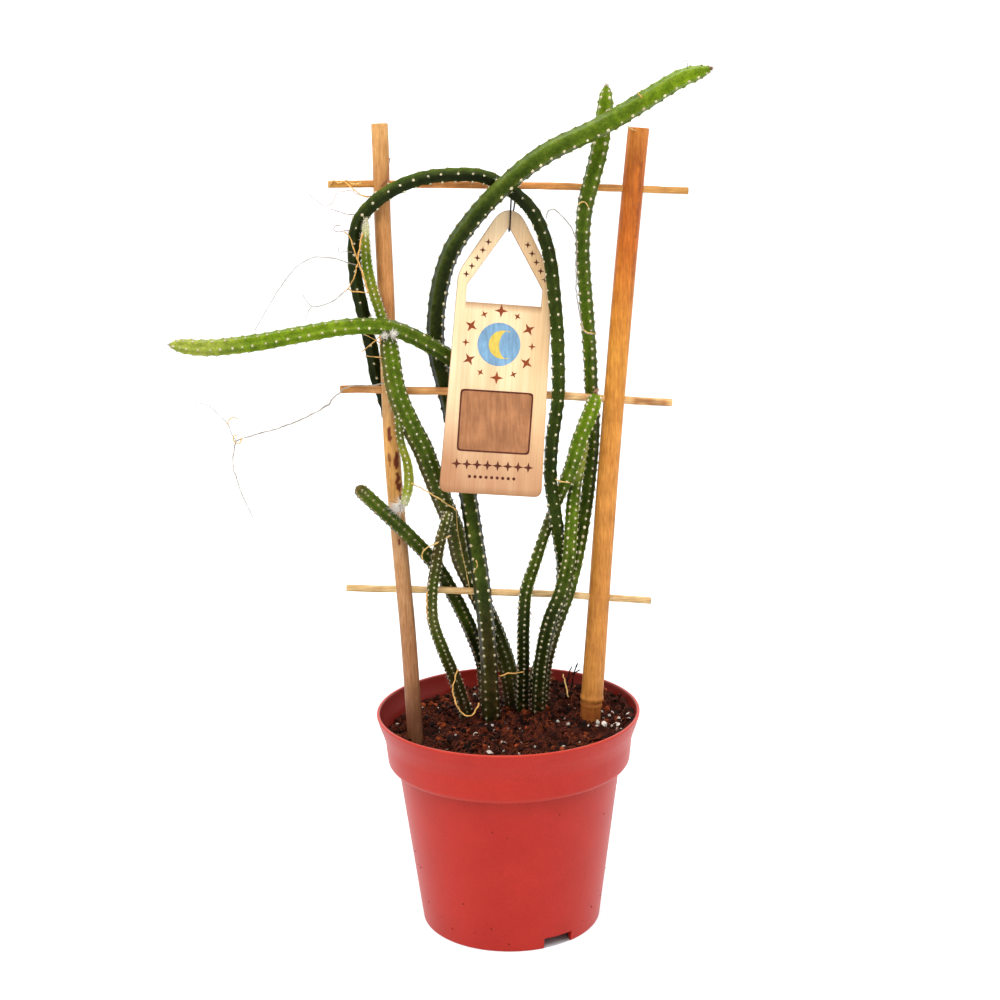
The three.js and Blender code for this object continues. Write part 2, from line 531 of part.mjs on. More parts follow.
/** True where a point keeps clear of every piece but the stem that it grows from. */
function isClear(point, owner, obstacles) {
  const inTag = point.clone().applyMatrix4(tagPlacement().invert());
  const margin = SPINE_KEEPS_OFF_TAG;
  const reachesTag = Math.abs(inTag.z) < TAG_THICKNESS / 2 + margin
    && Math.abs(inTag.x) < TAG_FOOT_HALF + margin
    && inTag.y > -TAG_LENGTH - margin && inTag.y < margin;
  const nearWire = Math.abs(point.x - TAG_TOP.x) < WIRE_ZONE.half
    && point.z > WIRE_ZONE.bottom && point.z < WIRE_ZONE.top;
  if (reachesTag || nearWire) return false;
  return obstacles.every(({ name, samples }) => name === owner || samples.every(
    (sample) => sample.point.distanceTo(point) > sample.radius + SPINE_CLEARANCE,
  ));
}

/** Short three-sided spines on the areoles, leaning towards the tip and to either side. */
function spines(rings, ribs, owner, obstacles) {
  const up = new THREE.Vector3(0, 1, 0);
  const found = [];
  rings.forEach((ring, k) => {
    if (!ring.areoles || ring.centre.z < SPINE_LOWEST_Z) return;
    for (let rib = 0; rib < ribs; rib += 1) {
      if ((rib + k) % 2 !== 0 || (rib + Math.floor(k / 2)) % 2 !== 0) continue;
      const angle = (rib / ribs) * 2 * Math.PI;
      const out = aroundRing(ring, angle);
      const side = aroundRing(ring, angle + Math.PI / 2);
      const sway = k % 4 < 2 ? SPINE_SWAY : -SPINE_SWAY;
      const direction = out.clone().addScaledVector(ring.tangent, SPINE.lean);
      direction.addScaledVector(side, sway).normalize();
      const base = ring.centre.clone().addScaledVector(out, ring.radius - SPINE.root);
      const total = SPINE.root + SPINE.length;
      const tip = base.clone().addScaledVector(direction, total);
      const middle = base.clone().addScaledVector(direction, 0.6 * total);
      if (!isClear(tip, owner, obstacles) || !isClear(middle, owner, obstacles)) continue;
      const spine = new THREE.ConeGeometry(SPINE.radius, total, 3).translate(0, total / 2, 0);
      spine.applyQuaternion(new THREE.Quaternion().setFromUnitVectors(up, direction));
      found.push(welded(spine.translate(base.x, base.y, base.z)));
    }
  });
  return found;
}

/** A plain round hole in the soil for the foot of a stem. */
function stemHole(rings) {
  const widening = GAP / Math.cos(Math.PI / HOLE_SIDES) + HOLE_EASE;
  const inSoil = rings.filter((ring) => ring.centre.z < HOLE_TOP_Z);
  const section = new THREE.Shape(Array.from({ length: HOLE_SIDES }, (_, i) => new THREE.Vector2(
    Math.cos((i * 2 * Math.PI) / HOLE_SIDES), Math.sin((i * 2 * Math.PI) / HOLE_SIDES),
  )));
  const steps = inSoil.length - 1;
  const hole = welded(new THREE.ExtrudeGeometry(section, { depth: 1, steps, bevelEnabled: false }));
  const position = hole.attributes.position;
  for (let i = 0; i < position.count; i += 1) {
    const k = Math.round(position.getZ(i) * steps);
    const ring = inSoil[k];
    const angle = Math.atan2(position.getY(i), position.getX(i));
    const point = ring.centre.clone().addScaledVector(aroundRing(ring, angle), ring.radius + widening);
    if (k === 0) point.addScaledVector(ring.tangent, -GAP);
    position.setXYZ(i, point.x, point.y, point.z);
  }
  return hole;
}

const STEMS = [
  { name: 'stem_front', colour: COLOURS.stem, parts: [[STEM_FRONT, 5], [BRANCH_ARM, 5]] },
  {
    name: 'stem_left_tall',
    colour: COLOURS.stem,
    parts: [[STEM_LEFT_TALL, 6], [BRANCH_DROP, 5], [BRANCH_YOUNG, 5]],
  },
  { name: 'stem_left_slim', colour: COLOURS.stem, parts: [[STEM_LEFT_SLIM, 5]] },
  { name: 'stem_left_low', colour: COLOURS.oldStem, parts: [[STEM_LEFT_LOW, 5]] },
  { name: 'stem_arch', colour: COLOURS.oldStem, parts: [[STEM_ARCH, 5]] },
  { name: 'stem_right_tall', colour: COLOURS.stem, parts: [[STEM_RIGHT_TALL, 5]] },
  { name: 'stem_right_inner', colour: COLOURS.youngStem, parts: [[STEM_RIGHT_INNER, 5]] },
  { name: 'stem_right_short', colour: COLOURS.stem, parts: [[STEM_RIGHT_SHORT, 5]] },
].map((stem) => ({
  ...stem,
  parts: stem.parts.map(([points, ribs]) => ({ ribs, rings: stemRings(points) })),
}));

const stakes = [LEFT_STAKE, RIGHT_STAKE];
const obstacles = [
  ...STEMS.map(({ name, parts }) => ({
    name,
    samples: parts.flatMap(({ rings }) => rings.slice(1).flatMap((ring, k) => rodSamples(
      rings[k].centre, ring.centre, (share) => THREE.MathUtils.lerp(rings[k].radius, ring.radius, share),
    ))),
  })),
  ...stakes.map((stake) => ({
    name: 'stake',
    samples: rodSamples(onTrellis(stake.foot), onTrellis(stake.top), () => BAMBOO_ABOVE_JOINT)
      .map(({ point, radius }) => ({ point: point.setX(point.x + bowAt(stake, point.z)), radius })),
  })),
  ...Object.entries(RUNGS).map(([name, rung]) => ({
    name,
    samples: rodSamples(onTrellis(rung.left), onTrellis(rung.right), () => RUNG_RADIUS),
  })),
];

/** Stem, its branches and all their spines in one body. */
function makeStem({ name, parts }) {
  let stem = null;
  parts.forEach(({ rings, ribs }) => {
    const skin = toSolid(stemSkin(rings, ribs));
    stem = stem ? stem.add(skin) : skin;
  });
  parts.forEach(({ rings, ribs }) => {
    const needles = spines(rings, ribs, name, obstacles);
    if (needles.length > 0) stem = stem.add(toSolid(mergeGeometries(needles)));
  });
  return toGeometry(stem);
}

const stakeHoles = stakes.map((stake) => {
  const radius = stake.footRadius + GAP + 0.2;
  const depth = HOLE_TOP_Z - STAKE_FOOT_Z;
  const profile = [[0, -GAP], [radius, -GAP], [radius, depth], [0, depth]];
  return turnedBetween(onTrellis(stake.foot), onTrellis(stake.top), profile, STAKE_SIDES);
});
const stemHoles = STEMS.map(({ parts }) => stemHole(parts[0].rings));
const feet = [
  ...stakes.map((stake) => ({ x: stake.foot[0], y: TRELLIS_Y, radius: stake.footRadius })),
  ...STEMS.flatMap(({ parts }) => parts[0].rings.slice(0, 4)).map(({ centre, radius }) => (
    { x: centre.x, y: centre.y, radius }
  )),
];

addPiece('pot', makePot(), COLOURS.terracotta, 0.45);
addPiece('soil', makeSoil([...stakeHoles, ...stemHoles], feet), COLOURS.peat, 0.95);
addPiece('stake_left', makeStake(LEFT_STAKE, null), COLOURS.paleBamboo, 0.6);
addPiece('stake_right', makeStake(RIGHT_STAKE, BAMBOO_JOINT_Z - STAKE_FOOT_Z), COLOURS.bamboo, 0.55);
Object.entries(RUNGS).forEach(([name, rung]) => addPiece(name, makeRung(rung), COLOURS.bamboo, 0.6));
addPiece('tag', makeTag(), COLOURS.wood, 0.7);
addPiece('tag_wire', makeWire(), COLOURS.wire, 0.5);
STEMS.forEach((stem) => addPiece(stem.name, makeStem(stem), stem.colour, 0.5));

export default cactus;
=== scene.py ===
"""Studio picture of a potted queen of the night cactus on a small bamboo trellis.

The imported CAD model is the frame: it gives the place and the size of every piece.
Each class below stands for one sub-assembly and builds its finer surfaces as numpy
grids, in millimetres, in the CAD frame: X along the trellis, +Y to the back, +Z up.
"""

import logging
import math
from collections.abc import Sequence
from dataclasses import dataclass, field
from enum import Enum

import bmesh
import bpy
import numpy as np
from mathutils import Matrix


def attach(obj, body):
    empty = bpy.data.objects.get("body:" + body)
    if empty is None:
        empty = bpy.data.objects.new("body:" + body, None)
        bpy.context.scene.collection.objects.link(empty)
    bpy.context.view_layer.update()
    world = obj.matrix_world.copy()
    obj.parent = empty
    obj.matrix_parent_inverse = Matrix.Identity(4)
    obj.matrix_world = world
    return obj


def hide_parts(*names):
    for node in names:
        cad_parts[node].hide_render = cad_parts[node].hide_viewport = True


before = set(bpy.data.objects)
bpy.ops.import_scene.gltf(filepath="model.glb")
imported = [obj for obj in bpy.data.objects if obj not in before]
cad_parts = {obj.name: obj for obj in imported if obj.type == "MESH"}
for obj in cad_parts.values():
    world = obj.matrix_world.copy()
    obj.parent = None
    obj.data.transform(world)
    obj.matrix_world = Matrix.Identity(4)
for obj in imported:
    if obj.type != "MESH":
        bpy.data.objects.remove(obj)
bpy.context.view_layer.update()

LOG = logging.getLogger("queen_of_the_night")
BODY = "root"
METRES_PER_MM = 0.001
FULL_TURN = 2 * math.pi

Array = np.ndarray
Colour = tuple[float, float, float]
Pair = tuple[float, float]
Point = tuple[float, float, float]
Line = tuple[tuple[float, ...], ...]
Tones = tuple[tuple[float, Colour], ...]
Socket = bpy.types.NodeSocket

CURVE_STEPS = 24
MOST_ROUNDING = 0.45
NO_CREASE = 180.0


def colour(red: int, green: int, blue: int) -> Colour:
    """Turns a colour on the 0 to 255 screen scale into linear light.

    Args:
        red: Red on the screen scale.
        green: Green.
        blue: Blue.

    Returns:
        Red, green and blue from 0 to 1.
    """
    screen = np.array([red, green, blue]) / 255
    linear = np.where(screen <= 0.04045, screen / 12.92, ((screen + 0.055) / 1.055) ** 2.4)
    return tuple(float(part) for part in linear)


# ---------------- shapes


@dataclass
class Patch:
    """A surface as arrays: its points, the faces on them and the colour at each point."""

    points: Array
    quads: Array
    triangles: Array
    tint: Array


def grid_patch(points: Array, tint: Array | Colour, loop: bool = False) -> Patch:
    """Joins a grid of points into a tube of quads, and closes its ends with fans.

    Args:
        points: Rows by columns by 3. The last column joins the first.
        tint: One colour for all, or one for each point.
        loop: The last row joins the first, so there are no ends to close.

    Returns:
        The surface. A tube that isn't a loop gets a fan over each end.
    """
    rows, columns, _ = points.shape
    row, column = np.arange(rows if loop else rows - 1), np.arange(columns)
    i, j = np.meshgrid(row, column, indexing="ij")
    k, m = (i + 1) % rows, (j + 1) % columns
    quads = np.stack([i * columns + j, i * columns + m, k * columns + m, k * columns + j], -1)
    tint = np.broadcast_to(np.asarray(tint, float), points.shape).reshape(-1, 3)
    flat = points.reshape(-1, 3)
    fans = np.zeros((0, 3), int)
    if not loop:
        after = (column + 1) % columns
        last = (rows - 1) * columns
        start, end = len(flat), len(flat) + 1
        fans = np.vstack([
            np.stack([after, column, np.full(columns, start)], -1),
            np.stack([last + column, last + after, np.full(columns, end)], -1),
        ])
        flat = np.vstack([flat, points[0].mean(0), points[-1].mean(0)])
        tint = np.vstack([tint, tint[:columns].mean(0), tint[last:].mean(0)])
    return Patch(flat, quads.reshape(-1, 4), fans, tint)


def merged(patches: Sequence[Patch]) -> Patch:
    """Puts several surfaces into one.

    Args:
        patches: The surfaces.

    Returns:
        All of them as one surface.
    """
    starts = np.cumsum([0] + [len(patch.points) for patch in patches])
    return Patch(
        np.vstack([patch.points for patch in patches]),
        np.vstack([patch.quads.reshape(-1, 4) + start for patch, start in zip(patches, starts)]),
        np.vstack([patch.triangles.reshape(-1, 3) + start for patch, start in zip(patches, starts)]),
        np.vstack([patch.tint for patch in patches]),
    )


def scattered(shape: Patch, places: Array, axes: Array, sizes: Array, tints: Array) -> Patch:
    """Copies one small shape to many places.

    A copy's point is its place plus the shape's x, y and z times the size along the
    copy's own three axes, for all copies at once.

    Args:
        shape: The shape, which reaches out to about 1.
        places: Copies by 3.
        axes: Copies by 3 axes by 3.
        sizes: Copies by 3.
        tints: Copies by 3, which multiply the shape's own tint.

    Returns:
        All the copies as one surface.
    """
    count, per = len(places), len(shape.points)
    points = places[:, None, :] + np.einsum("na,ka,kac->knc", shape.points, sizes, axes)
    shift = (np.arange(count) * per)[:, None, None]
    return Patch(
        points.reshape(-1, 3),
        (shape.quads.reshape(1, -1, 4) + shift).reshape(-1, 4),
        (shape.triangles.reshape(1, -1, 3) + shift).reshape(-1, 3),
        (shape.tint[None] * tints[:, None, :]).reshape(-1, 3),
    )


def unit(vectors: Array) -> Array:
    """Gives each vector length 1."""
    return vectors / np.maximum(np.linalg.norm(vectors, axis=-1, keepdims=True), 1e-12)


def ripple(points: Array, size: float, seed: int, waves: int = 28) -> Array:
    """Smooth random field: the sum of plane sine waves of random direction and phase.

    Args:
        points: Any shape by 3, in millimetres.
        size: Typical wavelength in millimetres.
        seed: Start of the random numbers.
        waves: How many waves are added up.

    Returns:
        Values mostly between -1 and 1, in the shape of the points.
    """
    draw = np.random.default_rng(seed)
    wave = unit(draw.normal(size=(waves, 3))) * FULL_TURN / (size * draw.uniform(0.6, 1.7, (waves, 1)))
    phase = draw.uniform(0, FULL_TURN, waves)
    return np.sin(points @ wave.T + phase).sum(-1) / math.sqrt(waves)


def smooth_line(knots: Line, spacing: float) -> Array:
    """Curve through the knots, a centripetal Catmull-Rom spline, in even steps.

    Each stretch is the cubic that passes through its two knots, with slopes from the
    neighbours weighted by the square root of the distances. What follows x, y and z in
    a knot, such as a radius, changes in proportion along the stretch.

    Args:
        knots: Points of x, y, z and anything more.
        spacing: Length of a step in millimetres.

    Returns:
        Rows of the same kind as the knots.
    """
    known = np.array(knots, float)
    place = known[:, :3]
    padded = np.vstack([2 * place[0] - place[1], place, 2 * place[-1] - place[-2]])
    p0, p1, p2, p3 = padded[:-3], padded[1:-2], padded[2:-1], padded[3:]
    d0, d1, d2 = (np.maximum(np.linalg.norm(b - a, axis=1) ** 0.5, 1e-3)[:, None]
                  for a, b in ((p0, p1), (p1, p2), (p2, p3)))
    slope1 = ((p1 - p0) / d0 - (p2 - p0) / (d0 + d1) + (p2 - p1) / d1) * d1
    slope2 = ((p2 - p1) / d1 - (p3 - p1) / (d1 + d2) + (p3 - p2) / d2) * d1
    square, cube = 3 * (p2 - p1) - 2 * slope1 - slope2, 2 * (p1 - p2) + slope1 + slope2
    t = np.linspace(0, 1, CURVE_STEPS, endpoint=False)[None, :, None]
    fine = p1[:, None] + slope1[:, None] * t + square[:, None] * t**2 + cube[:, None] * t**3
    extra = known[:-1, None, 3:] + (known[1:, None, 3:] - known[:-1, None, 3:]) * t
    fine = np.vstack([np.concatenate([fine, extra], -1).reshape(-1, known.shape[1]), known[-1:]])
    run = length_along(fine[:, :3])
    steps = max(4, round(run[-1] / spacing))
    return interpolated(np.linspace(0, run[-1], steps + 1), run, fine)


def length_along(points: Array) -> Array:
    """Length of a line from its first point to each of its points."""
    return np.concatenate([[0], np.cumsum(np.linalg.norm(np.diff(points, axis=0), axis=1))])


def interpolated(at: Array, known_at: Array, known: Array) -> Array:
    """Values in proportion between known rows, column by column."""
    return np.stack([np.interp(at, known_at, column) for column in known.T], -1)


def toned(tones: Tones, at: Array, columns: int) -> Array:
    """Colours that the tones give at each row's place, the same for all of its columns."""
    known = np.array([[place, *tone] for place, tone in tones])
    return interpolated(at, known[:, 0], known[:, 1:])[:, None] * np.ones((1, columns, 1))


def turns(count: int) -> Array:
    """Angles evenly round a full turn."""
    return np.arange(count) * FULL_TURN / count


def round_line(turn: Array, front: Array, side: Array) -> Array:
    """Directions away from a line: cosine of the angle along its front, sine along its side."""
    across, along = np.cos(turn)[..., None], np.sin(turn)[..., None]
    return across * front[..., None, :] + along * side[..., None, :]


def rings(radius: Array, height: Array | float, turn: Array) -> Array:
    """Points about Z, from radii, heights and angles of shapes that fit each other."""
    x, y = radius * np.cos(turn), radius * np.sin(turn)
    return np.stack([x, y, np.broadcast_to(height, x.shape)], -1)


def upright_axes(up: Array, across: Array) -> Array:
    """Three axes at right angles for each copy: across turns the first two, and the last is up."""
    first = unit(np.cross(up, across))
    return np.stack([first, np.cross(up, first), up], 1)


def bar_axes(start: Array, end: Array) -> tuple[Array, Array, Array]:
    """Axis, front and side of a straight bar whose front is turned to the viewer.

    Args:
        start: One end of the bar.
        end: The other end.

    Returns:
        The three directions, each of length 1.
    """
    axis = unit(end - start)
    front = unit(np.array([0, -1, 0]) + axis * axis[1])
    return axis, front, np.cross(axis, front)


def frames_along(path: Array, facing: Point) -> tuple[Array, Array, Array]:
    """Tangent, front and side of a path.

    The front is the facing direction with its part along the path taken away, so it
    turns smoothly wherever the path doesn't run straight along it.

    Args:
        path: Points of the path.
        facing: Direction that the front keeps to.

    Returns:
        Tangents, fronts and sides, each points by 3.
    """
    tangent = unit(np.gradient(path, axis=0))
    toward = np.array(facing, float)
    front = unit(toward - (tangent @ toward)[:, None] * tangent)
    return tangent, front, np.cross(tangent, front)


def tube_patch(line: Array, sides: int, tint: Array | Colour, facing: Point = (0, -1, 0)) -> Patch:
    """Round tube along a line of x, y, z and radius: a circle carried along the path."""
    _, front, side = frames_along(line[:, :3], facing)
    return grid_patch(line[:, None, :3] + line[:, None, 3:4] * round_line(turns(sides), front, side), tint)


def rounded(corners: Sequence[tuple[float, float, float]], steps: int = 5) -> Array:
    """Profile with rounded corners: each corner becomes a short parabola.

    Args:
        corners: First number, second number and rounding length of each corner.
        steps: Points on each rounding.

    Returns:
        Points by 2.
    """
    made = [np.array([corners[0][:2]], float)]
    share = np.linspace(0, 1, steps)[:, None]
    for before, corner, after in zip(corners, corners[1:], corners[2:]):
        middle = np.array(corner[:2], float)
        back, ahead = np.array(before[:2], float) - middle, np.array(after[:2], float) - middle
        reach = min(corner[2], *(MOST_ROUNDING * np.linalg.norm(edge) for edge in (back, ahead)))
        start, end = middle + unit(back) * reach, middle + unit(ahead) * reach
        made.append(start * (1 - share) ** 2 + 2 * middle * share * (1 - share) + end * share**2)
    made.append(np.array([corners[-1][:2]], float))
    return np.vstack(made)


def smoothstep(low: float, high: float, values: Array) -> Array:
    """Rises from 0 at low to 1 at high along an S-shaped curve."""
    share = np.clip((values - low) / (high - low), 0, 1)
    return share * share * (3 - 2 * share)


def blended(first: Array | Colour, second: Array | Colour, share: Array) -> Array:
    """First colour where the share is 0, second where it is 1."""
    start = np.asarray(first, float)
    return start + (np.asarray(second, float) - start) * share[..., None]


# ---------------- finishes

GRAIN_DETAIL = 6.0
PATCH_DETAIL = 3.0
NOISE_ROUGHNESS = 0.6
RAMP_ENDS = (0.34, 0.66)
SUBSURFACE_METRES = 0.002


def set_inputs(node: bpy.types.Node, **values: float | Sequence[float]) -> None:
    """Sets inputs of a node: an underscore in a name stands for a space."""
    for name, value in values.items():
        node.inputs[name.replace("_", " ")].default_value = value


@dataclass(frozen=True)
class Finish:
    """How one kind of surface looks from close by.

    The colour comes from the piece's own tint. Fine grain and larger patches, both
    noise on the object's coordinates, multiply it between two colours each. Both are
    given as repeats a metre.
    """

    name: str
    roughness: float
    grain: Point
    grain_low: Colour
    grain_high: Colour
    patch: float
    patch_low: Colour
    patch_high: Colour
    bump: float
    bump_height: float
    specular: float = 0.5
    subsurface: float = 0.0
    glow: Colour = (1.0, 0.4, 0.2)
    on_uv: bool = False

    def material(self) -> bpy.types.Material:
        """Builds the material, once for each name.

        Returns:
            The material.
        """
        known = bpy.data.materials.get(self.name)
        if known:
            return known
        made = bpy.data.materials.new(self.name)
        made.use_nodes = True
        tree = made.node_tree
        shader = next(node for node in tree.nodes if node.type == "BSDF_PRINCIPLED")
        set_inputs(shader, Roughness=self.roughness, Specular_IOR_Level=self.specular,
                   Subsurface_Weight=self.subsurface, Subsurface_Radius=self.glow,
                   Subsurface_Scale=SUBSURFACE_METRES)
        tint = tree.nodes.new("ShaderNodeAttribute")
        tint.attribute_name = "tint"
        place = tree.nodes.new("ShaderNodeTexCoord").outputs["UV" if self.on_uv else "Object"]
        grain = self._noise(tree, place, self.grain, GRAIN_DETAIL)
        patch = self._noise(tree, place, (self.patch,) * 3, PATCH_DETAIL)
        with_grain = self._multiplied(tree, tint.outputs["Color"], grain, self.grain_low, self.grain_high)
        full = self._multiplied(tree, with_grain, patch, self.patch_low, self.patch_high)
        tree.links.new(full, shader.inputs["Base Color"])
        bump = tree.nodes.new("ShaderNodeBump")
        set_inputs(bump, Strength=self.bump, Distance=self.bump_height)
        tree.links.new(grain, bump.inputs["Height"])
        tree.links.new(bump.outputs["Normal"], shader.inputs["Normal"])
        return made

    @staticmethod
    def _noise(tree: bpy.types.NodeTree, place: Socket, repeats: Point, detail: float) -> Socket:
        """Noise with so many repeats a metre along each axis.

        Args:
            tree: The material's node tree.
            place: Coordinates.
            repeats: Repeats a metre along each axis.
            detail: Levels of finer noise.

        Returns:
            The noise, from 0 to 1.
        """
        mapping = tree.nodes.new("ShaderNodeMapping")
        set_inputs(mapping, Scale=repeats)
        noise = tree.nodes.new("ShaderNodeTexNoise")
        set_inputs(noise, Scale=1.0, Detail=detail, Roughness=NOISE_ROUGHNESS)
        tree.links.new(place, mapping.inputs["Vector"])
        tree.links.new(mapping.outputs["Vector"], noise.inputs["Vector"])
        return noise.outputs["Fac"]

    @staticmethod
    def _multiplied(tree: bpy.types.NodeTree, base: Socket, share: Socket, low: Colour,
                    high: Colour) -> Socket:
        """Base colour times a colour between low and high, as the noise says.

        Args:
            tree: The material's node tree.
            base: Base colour.
            share: The noise, from 0 to 1.
            low: Colour where the noise is low.
            high: Colour where it is high.

        Returns:
            The product.
        """
        ramp = tree.nodes.new("ShaderNodeValToRGB")
        for stop, position, tint in zip(ramp.color_ramp.elements, RAMP_ENDS, (low, high)):
            stop.position = position
            stop.color = (*tint, 1)
        mix = tree.nodes.new("ShaderNodeMix")
        mix.data_type = "RGBA"
        mix.blend_type = "MULTIPLY"
        mix.inputs["Factor"].default_value = 1.0
        tree.links.new(share, ramp.inputs["Fac"])
        tree.links.new(base, next(s for s in mix.inputs if s.identifier == "A_Color"))
        tree.links.new(ramp.outputs["Color"], next(s for s in mix.inputs if s.identifier == "B_Color"))
        return next(s for s in mix.outputs if s.identifier == "Result_Color")


PLASTIC = Finish(
    "red_plastic", 0.4, (1100, 1100, 1100), (0.9, 0.84, 0.84), (1.06, 1.1, 1.1), 45, (0.94, 0.86, 0.84),
    (1.04, 1.1, 1.12), 0.14, 0.00015, specular=0.22, subsurface=0.04,
)
PEAT = Finish(
    "moist_peat", 0.9, (1200, 1200, 1200), (0.3, 0.26, 0.24), (1.9, 1.7, 1.6), 190, (0.5, 0.45, 0.42),
    (1.5, 1.4, 1.35), 0.9, 0.0014, specular=0.12,
)
STONE = Finish(
    "white_perlite", 0.8, (1200, 1200, 1200), (0.82, 0.8, 0.76), (1.05, 1.05, 1.05), 300, (0.9, 0.88, 0.85),
    (1.0, 1.0, 1.0), 0.6, 0.0004, specular=0.3,
)
CANE = Finish(
    "bamboo_cane", 0.5, (1500, 1500, 170), (0.78, 0.69, 0.57), (1.14, 1.12, 1.1), 110, (0.84, 0.78, 0.7),
    (1.08, 1.08, 1.08), 0.25, 0.00025, specular=0.25,
)
SPLIT = Finish(
    "split_bamboo", 0.6, (70, 2000, 2000), (0.74, 0.66, 0.58), (1.12, 1.1, 1.06), 140, (0.84, 0.76, 0.68),
    (1.1, 1.08, 1.06), 0.35, 0.0003, specular=0.2,
)
BOARD = Finish(
    "tag_board", 0.65, (1300, 14, 900), (0.91, 0.86, 0.78), (1.06, 1.06, 1.07), 30, (0.94, 0.89, 0.83),
    (1.03, 1.03, 1.04), 0.16, 0.0001, specular=0.2, on_uv=True,
)
INK = Finish(
    "printed_ink", 0.65, (900, 900, 90), (0.8, 0.76, 0.74), (1.14, 1.12, 1.1), 130, (0.86, 0.84, 0.84),
    (1.1, 1.1, 1.1), 0.05, 0.00005, specular=0.15,
)
WIRE = Finish(
    "black_wire", 0.45, (2000, 2000, 2000), (0.8, 0.8, 0.8), (1.2, 1.2, 1.2), 200, (0.9, 0.9, 0.9),
    (1.1, 1.1, 1.1), 0.1, 0.0001, specular=0.3,
)
SKIN = Finish(
    "stem_skin", 0.4, (1700, 1700, 1700), (0.66, 0.7, 0.6), (1.24, 1.2, 1.3), 170, (0.72, 0.78, 0.66),
    (1.22, 1.14, 1.2), 0.3, 0.0003, specular=0.05, subsurface=0.03, glow=(0.6, 1.0, 0.2),
)
WOOL = Finish(
    "areole_wool", 0.95, (3000, 3000, 3000), (0.8, 0.76, 0.68), (1.08, 1.08, 1.08), 250, (0.8, 0.76, 0.7),
    (1.05, 1.05, 1.05), 0.5, 0.0002, specular=0.1,
)
SPINE = Finish(
    "fine_spines", 0.5, (1200, 1200, 1200), (0.8, 0.72, 0.62), (1.1, 1.1, 1.1), 300, (0.9, 0.88, 0.85),
    (1.06, 1.06, 1.06), 0.1, 0.0001, specular=0.2,
)
ROOT = Finish(
    "aerial_root", 0.7, (1600, 1600, 1600), (0.72, 0.66, 0.6), (1.15, 1.12, 1.1), 200, (0.82, 0.78, 0.74),
    (1.08, 1.06, 1.04), 0.4, 0.0002, specular=0.15,
)


# ---------------- pieces


def in_scene(name: str, data: bpy.types.ID) -> bpy.types.Object:
    """New object for a mesh, a light or a camera, put into the scene.

    Args:
        name: Name of the object.
        data: The mesh, light or camera.

    Returns:
        The new object.
    """
    made = bpy.data.objects.new(name, data)
    bpy.context.scene.collection.objects.link(made)
    return made


def add_piece(name: str, patch: Patch, finish: Finish, nodes: Sequence[str] = (),
              crease: float = NO_CREASE, uv: Array | None = None) -> bpy.types.Object:
    """Makes one piece of the object and puts it on the frame.

    Args:
        name: Name of the piece.
        patch: Its surface in millimetres.
        finish: Its finish.
        nodes: CAD nodes that it stands for.
        crease: Edges sharper than this many degrees stay sharp.
        uv: Texture coordinates of each point, for a pattern that follows the surface.

    Returns:
        The new object, at the origin and unturned.
    """
    mesh = bpy.data.meshes.new(name)
    faces = patch.quads.tolist() + patch.triangles.tolist()
    mesh.from_pydata((patch.points * METRES_PER_MM).tolist(), [], faces)
    shape = bmesh.new()
    shape.from_mesh(mesh)
    bmesh.ops.recalc_face_normals(shape, faces=shape.faces)
    shape.to_mesh(mesh)
    shape.free()
    layer = mesh.attributes.new("tint", "FLOAT_COLOR", "POINT")
    opaque = np.column_stack([np.clip(patch.tint, 0, 1), np.ones(len(patch.tint))])
    layer.data.foreach_set("color", opaque.ravel())
    if uv is not None:
        corner = np.zeros(len(mesh.loops), int)
        mesh.loops.foreach_get("vertex_index", corner)
        mesh.uv_layers.new(name="UVMap").data.foreach_set("uv", uv[corner].ravel())
    mesh.shade_smooth()
    if crease < NO_CREASE:
        mesh.set_sharp_from_angle(angle=math.radians(crease))
    mesh.materials.append(finish.material())
    piece = in_scene(name, mesh)
    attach(piece, BODY)
    if nodes:
        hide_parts(*nodes)
    LOG.info("%s: %d faces", name, len(faces))
    return piece


def lump_shape() -> Patch:
    """Small rough lump: an uneven octahedron with one more point on each of its level edges.

    Returns:
        The lump, about 2 across.
    """
    tips = np.array([[1, 0, 0], [0, 0.85, 0], [-0.9, 0.1, 0], [0.1, -1, 0], [0, 0.1, 1], [0.1, 0, -0.8]])
    faces = np.array([[0, 1, 4], [1, 2, 4], [2, 3, 4], [3, 0, 4], [1, 0, 5], [2, 1, 5], [3, 2, 5], [0, 3, 5]])
    middles = np.array([[0.62, 0.66, 0.12], [-0.7, 0.6, -0.1], [-0.5, -0.75, 0.15], [0.72, -0.6, -0.12]])
    edges = {(0, 1): 6, (1, 2): 7, (2, 3): 8, (0, 3): 9}
    split = []
    for a, b, c in faces:
        extra = edges[tuple(sorted((int(a), int(b))))]
        split += [[a, extra, c], [extra, b, c]]
    return Patch(np.vstack([tips, middles]), np.zeros((0, 4), int), np.array(split), np.ones((10, 3)))


def needle_shape() -> Patch:
    """Three-sided needle along its third axis, from 0 to 1, whose foot reaches out to 1.

    Returns:
        The needle.
    """
    foot = np.array([[1, 0, 0], [-0.5, 0.87, 0], [-0.5, -0.87, 0], [0, 0, 1]])
    faces = np.array([[0, 1, 3], [1, 2, 3], [2, 0, 3], [2, 1, 0]])
    return Patch(foot, np.zeros((0, 4), int), faces, np.ones((4, 3)))


def random_axes(draw: np.random.Generator, count: int) -> Array:
    """Random turns, a little more often upright than not: three axes for each copy."""
    up = unit(draw.normal(size=(count, 3)) + (0, 0, 0.3))
    return upright_axes(up, unit(draw.normal(size=(count, 3))))


